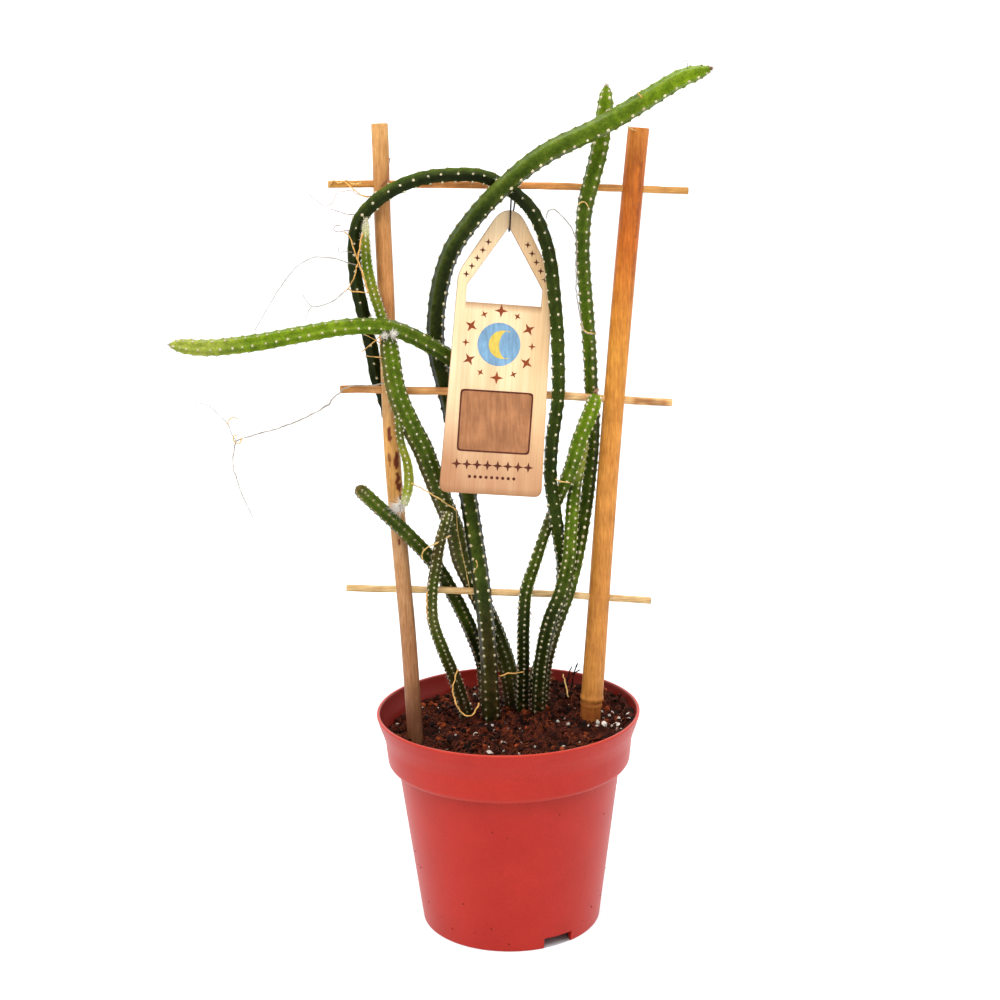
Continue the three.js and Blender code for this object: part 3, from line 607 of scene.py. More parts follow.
@dataclass
class GrowerPot:
    """Thin-walled plastic pot with a collar, a notched foot ring and a raised, drained floor.

    The flare is heights and radii of the collar. Each painted highlight is a share of the
    highlight colour and the height that it fades over. Painted shade darkens the inside
    wall above the peat.
    """

    height: float = 100.0
    rim: float = 60.0
    wall: float = 1.4
    collar: float = 23.4
    flare: Line = ((77.6, 55.5), (81, 55.8), (83.7, 56), (87.6, 56.35), (91.5, 57.5), (94.1, 58.5),
                   (96.7, 59.3), (99.4, 60))
    body_top: float = 51.1
    foot: float = 41.2
    floor: float = 6.2
    pad: float = 13.0
    notches: int = 3
    first_notch: float = 0.45
    notch_size: Point = (8.0, 14.3, 10.4)
    drain: float = 3.0
    drain_reach: float = 32.2
    drain_sides: int = 24
    columns: int = 180
    longest_step: float = 3.0
    crease: float = 35.0
    # Painted highlight at the rim and in a ring under the collar: share, and height or reach.
    rim_highlight: Pair = (0.5, 0.9)
    ledge_highlight: Pair = (0.25, 1.2)
    # Painted shade on the inside wall above the peat: the heights where it rises, and its share.
    inner_shade_rise: Pair = (80.0, 84.0)
    inner_shade_share: float = 0.75
    red: Colour = colour(168, 33, 19)
    highlight_red: Colour = colour(186, 66, 46)
    inner_shade_red: Colour = colour(96, 20, 10)

    def inner_radius(self, z: Array) -> Array:
        """Radius of the inside at a height: a straight slope in the body, a flare in the collar.

        Args:
            z: Heights.

        Returns:
            A radius for each height.
        """
        ledge = self.height - self.collar + self.wall
        in_body = self.foot + (self.body_top - self.foot) * z / ledge
        return np.where(z > ledge, np.interp(z, *np.array(self.flare).T), in_body) - self.wall

    def profile(self) -> Array:
        """Outline of the turned wall, from the middle below to the middle inside.

        Each corner is a radius, a height and a rounding length.

        Returns:
            Radius and height of each point.
        """
        ledge, plate, top = self.height - self.collar, self.floor - self.wall, self.height
        inner = float(self.inner_radius(np.array(ledge + self.wall)))
        lip = self.flare[0][1] - 0.2
        outside = [(radius, z, 1.6) for z, radius in self.flare[2:-1]]
        inside = [(radius - self.wall, z, 1.6) for z, radius in self.flare[-2:1:-1]]
        return rounded([
            (0.4, 0, 0), (self.pad, 0, 0.6), (self.pad + 3, plate, 1), (self.foot - 2.4, plate, 0.5),
            (self.foot - 1.7, 0, 0.4), (self.foot, 0, 1), (self.body_top - 0.1, ledge - 0.8, 1.2),
            (lip, ledge - 0.2, 1.9), *outside, (self.rim, top - 1.0, 0.6), (self.rim, top, 0.7),
            (self.rim - self.wall, top, 0.6), *inside, (self.flare[0][1] - self.wall, ledge + self.wall, 0.8),
            (inner, ledge + self.wall - 0.4, 0.8),
            (float(self.inner_radius(np.array(self.floor))), self.floor, 1), (self.pad + 2, self.floor, 0.8),
            (self.pad - 1, 1.6, 0.6), (0.4, 1.6, 0),
        ])

    def shell(self) -> Patch:
        """The profile turned about Z, with long stretches cut into short ones.

        Returns:
            The uncut pot.
        """
        outline = self.profile()
        run = length_along(outline)
        steps = np.unique(np.concatenate([run, np.arange(0, run[-1], self.longest_step)]))
        radius, height = interpolated(steps, run, outline).T
        points = rings(radius[:, None], height[:, None], turns(self.columns))
        return grid_patch(points, self.tint(points))

    def tint(self, points: Array) -> Array:
        """Red, with painted highlight at the rim and under the collar, and painted shade on the inside wall
        over the peat.

        Args:
            points: Points of the pot.

        Returns:
            A colour for each point.
        """
        x, y, z = np.moveaxis(points, -1, 0)
        # Painted highlight: a lighter red band at the rim and a lighter ring under the collar.
        rim_light = self.rim_highlight[0] * smoothstep(self.height - self.rim_highlight[1], self.height, z)
        ring = np.exp(-(((z - self.height + self.collar) / self.ledge_highlight[1]) ** 2))
        tint = blended(self.red, self.highlight_red, rim_light + self.ledge_highlight[0] * ring)
        # Painted shade: the inside wall over the peat is darker.
        depth = self.inner_radius(z) + 0.5 - np.hypot(x, y)
        inside = smoothstep(0, 0.3, depth) * smoothstep(*self.inner_shade_rise, z)
        return blended(tint, self.inner_shade_red, self.inner_shade_share * inside)

    def cutters(self) -> Patch:
        """Boxes for the notches and round bars for the drain holes, all round the foot.

        Returns:
            All of them as one surface.
        """
        up = np.array([0, 0, 1.0])
        square = ((-1, -1), (1, -1), (1, 1), (-1, 1))
        box = np.array([[[a, b, c] for a, b in square] for c in (-1, 1)]) / 2
        parts = []
        for index in range(self.notches):
            angle = (index + self.first_notch) / self.notches * FULL_TURN
            out = np.array([math.cos(angle), math.sin(angle), 0])
            along = np.array([-math.sin(angle), math.cos(angle), 0])
            reach = np.array(self.notch_size) * box
            parts.append(grid_patch(self.foot * out + reach @ np.array([out, along, up]), self.red))
            circle = self.drain * round_line(turns(self.drain_sides), out, along)
            ends = np.stack([self.drain_reach * out + circle + up * z for z in (-2, self.floor + 2)])
            parts.append(grid_patch(ends, self.red))
        return merged(parts)

    def build(self) -> None:
        """Makes the pot, cuts its notches and holes, and reddens the white corners of the cuts."""
        pot = add_piece("grower_pot", self.shell(), PLASTIC, ["pot"], crease=self.crease)
        tools = add_piece("pot_cutters", self.cutters(), PLASTIC)
        cut = pot.modifiers.new("notches", "BOOLEAN")
        cut.operation = "DIFFERENCE"
        cut.solver = "EXACT"
        cut.object = tools
        bpy.context.view_layer.update()
        finished = bpy.data.meshes.new_from_object(pot.evaluated_get(bpy.context.evaluated_depsgraph_get()))
        pot.modifiers.clear()
        pot.data = finished
        finished.set_sharp_from_angle(angle=math.radians(self.crease))
        tint = np.empty(4 * len(finished.vertices), np.float32)
        finished.attributes["tint"].data.foreach_get("color", tint)
        tint = tint.reshape(-1, 4)
        white = tint[:, 1] > 0.9
        tint[white] = (*self.red, 1)
        finished.attributes["tint"].data.foreach_set("color", tint.ravel())
        bpy.data.objects.remove(tools)


@dataclass
class Peat:
    """Lumpy soil with crumbs, fibres and perlite on it.

    The slope rises to the right. The heap is its middle behind the pot's, its reach and
    its height. The gaps are to the wall at the top edge, to the wall below and to the
    floor and the ledge.
    """

    pot: GrowerPot
    level: float = 93.6
    slope: float = 4.2 / 60
    heap: Point = (8.0, 26.5, 2.6)
    edge_gap: float = 0.15
    wall_gap: float = 0.3
    floor_gap: float = 0.4
    columns: int = 260
    rows: int = 84
    crumbs: int = 3000
    fibres: int = 700
    fibre_limit: float = 53.5
    fibre_shape: tuple[float, ...] = (0.5, 1, 1, 1, 1, 0.4)
    stones: int = 130
    drift: Pair = (44.0, -18.0)
    dark: Colour = colour(20, 9, 5)
    brown: Colour = colour(78, 34, 19)
    rust: Colour = colour(140, 68, 35)
    white: Colour = colour(216, 206, 196)

    def height(self, x: Array, y: Array) -> Array:
        """Height of the soil: a slope, a heap round the stems and two sets of waves.

        Args:
            x: Distances to the right.
            y: Distances to the back.

        Returns:
            A height for each place.
        """
        back, reach, top = self.heap
        heap = top * np.exp(-(x**2 + (y - back) ** 2) / reach**2)
        waves = 0.7 * np.sin(0.31 * x + 1) * np.cos(0.27 * y) + 0.5 * np.sin(0.12 * x - 0.45 * y)
        return self.level + self.slope * x + heap + waves - 0.9

    def relief(self, x: Array, y: Array) -> Array:
        """Height with the clods on it: three sizes of smooth random field.

        Args:
            x: Distances to the right.
            y: Distances to the back.

        Returns:
            A height for each place.
        """
        flat = np.stack([x, y, np.zeros_like(x)], -1)
        large, middle, small = ripple(flat, 8, 11), ripple(flat, 3.4, 12), ripple(flat, 1.4, 13)
        clods = 1.5 * np.abs(large) + 0.8 * np.abs(middle) + 0.3 * small
        return self.height(x, y) + clods - 1.3

    def body(self) -> Patch:
        """Rings from the middle of the top out to the wall, down it and back in along the floor.

        The relief calms down to the plain height towards the wall. The last ring of the
        top follows the wall's flare.

        Returns:
            The soil.
        """
        turn = turns(self.columns)
        edge = float(self.pot.inner_radius(np.array(self.level))) - self.edge_gap
        share = np.linspace(0.004, 1, self.rows)[:, None]
        x, y = share * edge * np.cos(turn), share * edge * np.sin(turn)
        calm = smoothstep(1, 0.93, share)
        z = self.height(x, y) + calm * (self.relief(x, y) - self.height(x, y))
        fit = np.where(share > 0.999, (self.pot.inner_radius(z) - self.edge_gap) / edge, 1)
        top = np.stack([x * fit, y * fit, z], -1)
        ledge = self.pot.height - self.pot.collar + self.pot.wall + self.floor_gap
        bottom = self.pot.floor + self.floor_gap
        below = [(86.5, 86.5), (82, 82), (ledge + 0.1, ledge), (ledge - 0.6, ledge), (bottom, bottom)]
        radii = [float(self.pot.inner_radius(np.array(at))) - self.wall_gap for at, _ in below]
        radii += [self.pot.pad + 1.7, 0.4]
        depth = [level for _, level in below] + [bottom] * 2
        lower = rings(np.array(radii)[:, None], np.array(depth)[:, None], turn)
        points = np.concatenate([top, lower])
        shade = np.clip(0.5 + 0.5 * ripple(points, 9, 14), 0, 1)
        return grid_patch(points, blended(self.dark, self.brown, shade))

    def spots(self, draw: np.random.Generator, count: int, inset: float) -> tuple[Array, Array]:
        """Random places on the soil, evenly over its area.

        Args:
            draw: Random numbers.
            count: How many places.
            inset: Distance that they keep from the wall.

        Returns:
            Their x and their y.
        """
        turn = draw.uniform(0, FULL_TURN, count)
        edge = float(self.pot.inner_radius(np.array(self.level))) - inset
        reach = np.sqrt(draw.uniform(0, 1, count)) * edge
        return reach * np.cos(turn), reach * np.sin(turn)

    def litter(self) -> Patch:
        """Crumbs of peat half sunk in the relief, the small ones many and the large ones few.

        Returns:
            All the crumbs.
        """
        draw = np.random.default_rng(21)
        x, y = self.spots(draw, self.crumbs, 1.6)
        size = 0.35 + 1.9 * draw.power(0.4, self.crumbs)
        places = np.stack([x, y, self.relief(x, y) + 0.2 * size], -1)
        sizes = size[:, None] * draw.uniform(0.6, 1.25, (self.crumbs, 3)) * (1, 1, 0.75)
        shade = draw.uniform(0, 1, self.crumbs) ** 1.3
        tints = blended(self.dark, self.brown, shade)
        tints = blended(tints, self.rust, (draw.uniform(0, 1, self.crumbs) > 0.86) * 0.6)
        return scattered(lump_shape(), places, random_axes(draw, self.crumbs), sizes, tints)

    def perlite(self) -> Patch:
        """White stones on the soil, a quarter of them in a drift at the right front.

        Returns:
            All the stones.
        """
        draw = np.random.default_rng(22)
        x, y = self.spots(draw, self.stones, 3)
        drifted = np.arange(self.stones) < self.stones // 4
        x = np.where(drifted, self.drift[0] + draw.normal(0, 4, self.stones), x)
        y = np.where(drifted, self.drift[1] + draw.normal(0, 5, self.stones), y)
        size = 0.45 + 1.1 * draw.power(0.6, self.stones)
        places = np.stack([x, y, self.relief(x, y) + 0.5 * size], -1)
        sizes = size[:, None] * draw.uniform(0.45, 1.3, (self.stones, 3))
        tints = np.array(self.white) * draw.uniform(0.55, 1.0, (self.stones, 1))
        return scattered(lump_shape(), places, random_axes(draw, self.stones), sizes, tints)

    def threads(self) -> Patch:
        """Short curled fibres: each an arc that lies on the soil, carried by a thin tube.

        Returns:
            All the fibres.
        """
        draw = np.random.default_rng(23)
        x, y = self.spots(draw, self.fibres, 4)
        t = np.linspace(-1, 1, len(self.fibre_shape))
        head = draw.uniform(0, FULL_TURN, self.fibres)[:, None] + t * draw.normal(0, 0.9, (self.fibres, 1))
        length = draw.uniform(1.2, 4.2, (self.fibres, 1))
        px, py = x[:, None] + length * t * np.cos(head), y[:, None] + length * t * np.sin(head)
        fit = np.minimum(1, self.fibre_limit / np.maximum(np.hypot(px, py), 1))
        px, py = px * fit, py * fit
        lift = draw.uniform(0.1, 1.3, (self.fibres, 1)) * (1 - 0.5 * t**2)
        path = np.stack([px, py, self.relief(px, py) + lift], -1)
        thickness = draw.uniform(0.07, 0.2, (self.fibres, 1, 1))
        radius = thickness * np.array(self.fibre_shape)[None, :, None]
        tone = draw.uniform(0, 1, self.fibres)[:, None] * np.ones(len(t))
        tint = blended(self.brown, self.rust, tone)
        return merged([tube_patch(np.concatenate([p, r], -1), 3, c[:, None], (0, 0, 1))
                       for p, r, c in zip(path, radius, tint)])

    def build(self) -> None:
        """Makes the soil and what lies on it."""
        add_piece("peat", self.body(), PEAT, ["soil"])
        add_piece("peat_crumbs", self.litter(), PEAT, crease=30)
        add_piece("peat_fibres", self.threads(), ROOT)
        add_piece("perlite", self.perlite(), STONE, crease=30)


# ---------------- trellis

TRELLIS_Y = -8.0
STAIN: Colour = colour(104, 44, 16)
CANE_STEP = 0.7
CANE_SIDES = 44
JOINT_RINGS: Line = ((0.55, 0.6, 1.1), (0.35, -2.4, 0.7))
MOUTH_ROWS = 3
MOUTH_SHADE: Colour = (0.62, 0.55, 0.5)
RUNG_STEP = 0.9
RUNG_SIDES = 20
RUNG_HALF = 1.5
RUNG_DEPTH = 0.86
BAMBOO_CREASE = 50.0


def tones(*rows: tuple[float, int, int, int]) -> Tones:
    """Tones from rows of place, red, green and blue, the colours on the 0 to 255 screen scale."""
    return tuple((place, colour(*screen)) for place, *screen in rows)


@dataclass(frozen=True)
class Blotch:
    """A stain on a cane: height, angle from the front, half length and half width in degrees."""

    z: float
    angle: float
    length: float
    width: float
    strength: float = 1.0


@dataclass(frozen=True)
class Cane:
    """A bamboo stake, round and a little uneven, with a hollow top.

    The radii are those of the foot and the head. The tones are given by height, and so is
    the bow, which shifts the axis to the right. A joint is a height.
    """

    name: str
    node: str
    slot: str
    foot: Point
    head: Point
    radii: Pair
    tones: Tones
    blotches: tuple[Blotch, ...]
    bow: Line
    seed: int
    joint: float | None = None

    def radius_along(self, along: Array, length: float) -> Array:
        """Radius from foot to head: an even taper, thicker above the joint, with its two rings.

        Args:
            along: Distances from the foot.
            length: Length of the cane.

        Returns:
            A radius for each distance.
        """
        radius = np.interp(along, [0, length], self.radii)
        if self.joint is None:
            return radius
        z = self.foot[2] + along / length * (self.head[2] - self.foot[2])
        below = smoothstep(self.joint + 3, self.joint - 1, z)
        radius = radius + 0.3 * (1 - below) * np.exp(-((z - self.joint) / 40).clip(0))
        for height, above, reach in JOINT_RINGS:
            radius = radius + height * np.exp(-(((z - self.joint - above) / reach) ** 2))
        return radius

    def build(self) -> None:
        """A circle carried along the bowed axis, with the joint, the stains and the hollow end."""
        foot, head = np.array(self.foot), np.array(self.head)
        length = float(np.linalg.norm(head - foot))
        along = np.arange(0, length - 0.5, CANE_STEP)
        radius = self.radius_along(along, length)
        end = radius[-1]
        mouth = [(end, -0.5), (end - 0.25, 0), (end * 0.42, 0), (end * 0.36, -0.6), (end * 0.3, -5)]
        along = np.concatenate([along, [length + step for _, step in mouth]])
        radius = np.concatenate([radius, [reach for reach, _ in mouth]])
        axis, front, side = bar_axes(foot, head)
        turn = turns(CANE_SIDES)
        around = round_line(turn, front, side)
        centre = foot + along[:, None] * axis
        curve = smooth_line(tuple((x, 0, z) for z, x in self.bow), 1.0)
        centre[:, 0] += np.interp(centre[:, 2], curve[:, 2], curve[:, 0])
        even = centre[:, None] + radius[:, None, None] * around
        uneven = 1 + 0.012 * ripple(even * (1, 1, 0.08), 5, self.seed)
        points = centre[:, None] + (radius[:, None] * uneven)[..., None] * around
        tint = self.tint(points, turn)
        # Painted shade inside the hollow mouth, darkest in its two deepest rows.
        tint[-MOUTH_ROWS:] *= MOUTH_SHADE
        tint[-2:] *= 0.35
        add_piece(self.name, grid_patch(points, tint), CANE, [self.node], crease=BAMBOO_CREASE)

    def tint(self, points: Array, turn: Array) -> Array:
        """Colour by height, with fine lengthwise streaks and the stains on top.

        Args:
            points: Rows by columns by 3.
            turn: Angle of each column from the front.

        Returns:
            A colour for each point.
        """
        z = points[..., 2]
        tint = toned(self.tones, z[:, 0], len(turn))
        streak = ripple(points * (1, 1, 0.03), 1.6, self.seed + 1)
        tint = tint * (1 + 0.07 * streak)[..., None]
        for index, blotch in enumerate(self.blotches):
            away = (turn - math.radians(blotch.angle) + math.pi) % FULL_TURN - math.pi
            near = ((z - blotch.z) / blotch.length) ** 2
            spot = np.exp(-near - (away / math.radians(blotch.width)) ** 2)
            ragged = spot + 0.22 * ripple(points, 3.2, self.seed + 5 + index)
            tint = blended(tint, STAIN, blotch.strength * smoothstep(0.42, 0.6, ragged) * (spot > 0.1))
        if self.joint is not None:
            scar = np.exp(-(((z - self.joint + 1.1) / 0.45) ** 2))
            scar = scar + 0.5 * smoothstep(self.joint, self.joint - 6, z)
            tint = blended(tint, STAIN, 0.55 * np.clip(scar, 0, 1))
        return tint


@dataclass(frozen=True)
class Rung:
    """A thin split of bamboo through both stakes.

    The tones and the bow, which lifts the rung, are given by the share of its length.
    """

    name: str
    node: str
    left: Point
    right: Point
    tones: Tones
    mottle: float
    bow: Line
    seed: int
    thickness: float = 1.0

    def build(self) -> None:
        """A rounded square carried along the rung, bowed up, a little crooked and uneven."""
        start, end = np.array(self.left), np.array(self.right)
        length = float(np.linalg.norm(end - start))
        inner = np.arange(RUNG_STEP, length - RUNG_STEP, RUNG_STEP)
        along = np.concatenate([[0, 0.25], inner, [length - 0.25, length]])
        axis, front, side = bar_axes(start, end)
        turn = turns(RUNG_SIDES)
        corner = (np.abs(np.cos(turn)) ** 3 + np.abs(np.sin(turn)) ** 3) ** (1 / 3)
        square = RUNG_HALF * self.thickness / corner
        ends = np.where((along < 0.1) | (along > length - 0.1), 0.82, 1)
        crooked = 0.08 * ripple(np.stack([along, along * 0, along * 0], -1), 46, self.seed)
        centre = start + along[:, None] * axis + crooked[:, None] * side
        curve = smooth_line(tuple((share * length, 0, lift) for share, lift in self.bow), 1.0)
        centre[:, 2] += np.interp(along, curve[:, 0], curve[:, 2])
        around = np.cos(turn)[:, None] * front * RUNG_DEPTH + np.sin(turn)[:, None] * side
        points = centre[:, None] + (ends[:, None] * square)[..., None] * around
        uneven = 0.06 * ripple(points * (0.25, 1, 1), 2.6, self.seed + 1)
        points = points + uneven[..., None] * around
        tint = toned(self.tones, along / length, len(turn))
        dark = smoothstep(0.25, 1.1, ripple(points * (0.5, 1, 1), 5, self.seed + 2))
        tint = blended(tint, STAIN, self.mottle * dark)
        tint = tint * (1 + 0.08 * ripple(points * (0.1, 1, 1), 1.1, self.seed + 3))[..., None]
        add_piece(self.name, grid_patch(points, tint), SPLIT, [self.node], crease=BAMBOO_CREASE)


TRELLIS: tuple[Cane | Rung, ...] = (
    Cane(
        "left_cane", "stake_left", "bamboo_pale",
        foot=(-42.6, TRELLIS_Y, 70.0), head=(-50.3, TRELLIS_Y, 361.0), radii=(3.5, 3.5),
        tones=tones(
            (90, 104, 66, 44), (102, 120, 80, 58), (130, 158, 111, 73), (182, 176, 134, 92),
            (200, 200, 150, 84), (230, 198, 148, 82), (242, 191, 151, 101), (262, 191, 151, 101),
            (285, 184, 128, 76), (335, 188, 136, 82), (361, 196, 150, 92),
        ),
        blotches=(
            Blotch(230, -16, 4.5, 17), Blotch(220, -24, 3, 12, 0.8), Blotch(218.5, 26, 4, 24),
            Blotch(209, 28, 5, 26), Blotch(201.5, 34, 2.6, 16), Blotch(183, -4, 2.2, 12),
            Blotch(150, 60, 3, 12, 0.6), Blotch(300, 170, 9, 24, 0.7),
        ),
        bow=((70, 0), (120, -0.15), (145, -0.6), (167, -1.4), (190, -2.1), (216, -2.8), (240, -2.6),
             (265, -2.0), (290, -1.45), (325, -1.0), (349, -0.2), (361, 0)),
        seed=31,
    ),
    Cane(
        "right_cane", "stake_right", "bamboo",
        foot=(34.6, TRELLIS_Y, 70.0), head=(58.9, TRELLIS_Y, 357.5), radii=(4.7, 4.55),
        tones=tones(
            (90, 134, 76, 32), (101, 160, 96, 40), (106, 186, 124, 56), (120, 192, 130, 58),
            (200, 192, 130, 58), (262, 200, 136, 52), (310, 184, 99, 24), (340, 182, 100, 28),
            (357, 200, 124, 52),
        ),
        blotches=(
            Blotch(318, 35, 9, 14, 0.45), Blotch(296, 40, 12, 10, 0.4), Blotch(338, 28, 8, 12, 0.4),
            Blotch(150, 55, 5, 8, 0.4), Blotch(262, 200, 10, 26, 0.5),
        ),
        bow=((70, 0), (118, -0.25), (166, -0.75), (205, -1.1), (262, -1.05), (310, -0.8), (346, -0.25),
             (357.5, 0)),
        seed=41, joint=105.0,
    ),
    Rung(
        "top_rung", "rung_top", (-72.5, TRELLIS_Y, 336.7), (80.2, TRELLIS_Y, 330.8),
        tones=tones((0, 206, 158, 80), (0.2, 204, 138, 78), (0.6, 210, 146, 82), (1, 196, 150, 86)),
        mottle=0.12,
        bow=((0, 0), (0.1, 0.42), (0.2, 0.55), (0.35, 0.72), (0.55, 0.93), (0.65, 0.97), (0.8, 0.66),
             (0.9, 0.34), (1, 0)),
        seed=51,
    ),
    Rung(
        "middle_rung", "rung_middle", (-70.9, TRELLIS_Y, 250.1), (73.7, TRELLIS_Y, 239.8),
        tones=tones(
            (0, 190, 136, 76), (0.05, 176, 122, 70), (0.1, 206, 156, 102), (0.14, 190, 138, 86),
            (0.25, 206, 154, 96), (0.4, 200, 150, 94), (0.62, 226, 190, 136), (0.65, 198, 148, 94),
            (0.7, 230, 198, 148), (0.74, 206, 160, 108), (0.8, 228, 194, 140), (0.87, 226, 190, 136),
            (0.89, 188, 136, 84), (0.91, 220, 180, 124), (0.93, 200, 152, 98), (0.95, 226, 190, 136),
            (0.975, 206, 158, 102), (1, 224, 188, 132),
        ),
        mottle=0.55,
        bow=((0, 0.45), (0.05, 0.8), (0.2, 0.9), (0.25, 1.1), (0.7, 1.1), (0.8, 0.6), (0.9, 0.13), (1, 0)),
        seed=61, thickness=1.12,
    ),
    Rung(
        "bottom_rung", "rung_bottom", (-71.5, TRELLIS_Y, 162.3), (64.6, TRELLIS_Y, 150.1),
        tones=tones(
            (0, 206, 178, 128), (0.2, 206, 178, 128), (0.45, 218, 184, 132), (0.8, 224, 194, 146),
            (1, 206, 178, 128),
        ),
        mottle=0.08,
        bow=((0, 0), (0.1, 0.18), (0.15, 0.4), (0.25, 0.62), (0.3, 0.8), (0.5, 0.93), (0.65, 1.19),
             (0.75, 1.06), (0.9, 0.48), (1, 0)),
        seed=71,
    ),
)


# ---------------- tag and its wire


@dataclass
class HangingTag:
    """House-shaped wooden board with an open gable, a plain printed moon and a stained panel.

    Places on the board are millimetres to the right of its middle line and down from its
    top. The crown is half the width and the depth of the rounded top of the gable.
    """

    top: Point = (3.5, -10.0, 324.5)
    length: float = 121.0
    thickness: float = 2.0
    forward: float = 11.0
    sideways: float = 5.65
    shoulder: Pair = (20.2, 27.5)
    foot_half: float = 22.2
    gable_top: float = 7.0
    gable_shoulder: Pair = (16.2, 32.4)
    gable_bottom: float = 39.5
    crown: Pair = (5.6, 2.6)
    outline_steps: tuple[int, int, int] = (32, 84, 22)
    corner_reach: tuple[int, int] = (3, 1)
    soft_edge: float = 0.35
    crease: float = 50.0
    disc: Pair = (-0.9, 56.6)
    disc_radius: float = 9.2
    moon_shift: float = 1.6
    moon_radius: float = 6.0
    moon_half_turn: float = 118.0
    moon_lift: float = 0.07
    star_count: int = 12
    star_ring: float = 14.2
    star_sizes: Pair = (2.9, 1.7)
    panel: Pair = (-0.2, 89.6)
    panel_half: Pair = (15.7, 13.3)
    panel_power: float = 22.0
    border_width: float = 0.7
    border_lift: float = 0.09
    ink_sunk: float = 0.05
    ink_lift: float = 0.03
    ink_crease: float = 40.0
    wood: Colour = colour(238, 211, 172)
    low_wood: Colour = colour(180, 132, 98)
    # Colour of the painted shade on the right side of the board.
    shaded_right_wood: Colour = colour(218, 184, 140)
    edge: Colour = colour(150, 110, 76)
    stain: Colour = colour(160, 110, 74)
    dark_stain: Colour = colour(84, 40, 28)
    sky: Colour = colour(118, 156, 186)
    moon: Colour = colour(206, 182, 84)
    star: Colour = colour(128, 60, 30)

    def placed(self, across: Array, down: Array, out: Array) -> Array:
        """Points of the tilted board: its top, plus across, down and out along its own axes.

        Args:
            across: Distances to the right of the middle line.
            down: Distances below the top.
            out: Distances in front of the middle of the board.

        Returns:
            The points in the CAD frame.
        """
        lean = math.radians(self.sideways)
        below = unit(np.array([-math.sin(lean) * self.length, -self.forward, -math.cos(lean) * self.length]))
        right = np.array([math.cos(lean), 0, -math.sin(lean)])
        face = np.cross(right, -below)
        flat = np.array(self.top) + across[..., None] * right + down[..., None] * below
        return flat + out[..., None] * face

    def outlines(self) -> tuple[Array, Array]:
        """Outer and inner outline, point by point: straight runs between matching corners.

        The outer one starts with a parabola over the top of the gable. The corners are
        rounded by the average over a few neighbours all round the loop.

        Returns:
            Both outlines, as places on the board.
        """
        outer = [(0, 0), self.shoulder, (self.foot_half, self.length), (0, self.length)]
        inner = [(0, self.gable_top), self.gable_shoulder, (self.gable_shoulder[0], self.gable_bottom),
                 (0, self.gable_bottom)]
        halves = []
        for corners in (outer, inner):
            stretches = zip(corners, corners[1:], self.outline_steps)
            runs = [np.linspace(start, end, steps, endpoint=False) for start, end, steps in stretches]
            halves.append(np.vstack([*runs, [corners[-1]]]))
        gable = halves[0][: self.outline_steps[0]]
        across, (wide, deep) = gable[:, 0], self.crown
        slope = deep + (across - wide) * (self.shoulder[1] - deep) / (self.shoulder[0] - wide)
        gable[:, 1] = np.where(across < wide, deep * (across / wide) ** 2, slope)
        loops = [np.vstack([half, (half * (-1, 1))[-2:0:-1]]) for half in halves]
        outer, inner = (self.averaged(loop, reach) for loop, reach in zip(loops, self.corner_reach))
        return outer, inner

    @staticmethod
    def averaged(loop: Array, reach: int) -> Array:
        """Mean of each point and its neighbours on both sides."""
        return sum(np.roll(loop, step, axis=0) for step in range(-reach, reach + 1)) / (2 * reach + 1)

    def board(self) -> tuple[Patch, Array]:
        """Face, edges and back: the cross-section of the frame carried round the outline.

        Returns:
            The board, and texture coordinates in metres across and down it.
        """
        outer, inner = self.outlines()
        half, soft = self.thickness / 2, self.soft_edge
        width = np.linalg.norm(outer - inner, axis=1)
        shares = np.linspace(0.04, 0.96, 9)
        section = [(0.0, 0.0, -half + soft), (0.0, 0.0, half - soft), (0.0, soft * 0.3, half - soft * 0.3)]
        section += [(share, 0.0, half) for share in shares]
        section += [(1.0, -soft * 0.3, half - soft * 0.3), (1.0, 0.0, half - soft), (1.0, 0.0, -half + soft),
                    (1.0, -soft * 0.3, -half + soft * 0.3)]
        section += [(share, 0.0, -half) for share in shares[::-1]]
        section += [(0.0, soft * 0.3, -half + soft * 0.3)]
        across_section = np.array([[share, shift] for share, shift, _ in section])
        share = across_section[:, 0][None] + across_section[:, 1][None] / width[:, None]
        flat = inner[:, None] + (outer - inner)[:, None] * share[..., None]
        out = np.broadcast_to([z for *_, z in section], share.shape)
        points = self.placed(flat[..., 0], flat[..., 1], out)
        on_edge = np.isclose(np.abs(out), half - soft) | np.isclose(np.abs(out), half - soft * 0.3)
        # Painted shade: the board darkens towards its right side.
        to_shaded_right = smoothstep(-2, 20, flat[..., 0])
        to_foot = 0.88 * smoothstep(62, 120, flat[..., 1]) + 0.15 * ripple(points * (1, 1, 0.12), 9, 121)
        tint = blended(self.wood, self.shaded_right_wood, to_shaded_right)
        tint = blended(tint, self.low_wood, np.clip(to_foot, 0, 1))
        tint = blended(tint, self.edge, 0.8 * on_edge)
        uv = (flat.reshape(-1, 2) + 30) * METRES_PER_MM
        return grid_patch(points, tint, loop=True), uv

    def plate(self, outline: Array, tint: Colour) -> Patch:
        """Thin flat plate of ink: an outline between two depths, closed by fans.

        Args:
            outline: Places on the board.
            tint: Colour of the ink.

        Returns:
            The plate.
        """
        across, down = outline[:, 0], outline[:, 1]
        base = self.thickness / 2
        rows = [self.placed(across, down, np.full_like(across, base + depth))
                for depth in (-self.ink_sunk, self.ink_lift)]
        return grid_patch(np.stack(rows), tint)

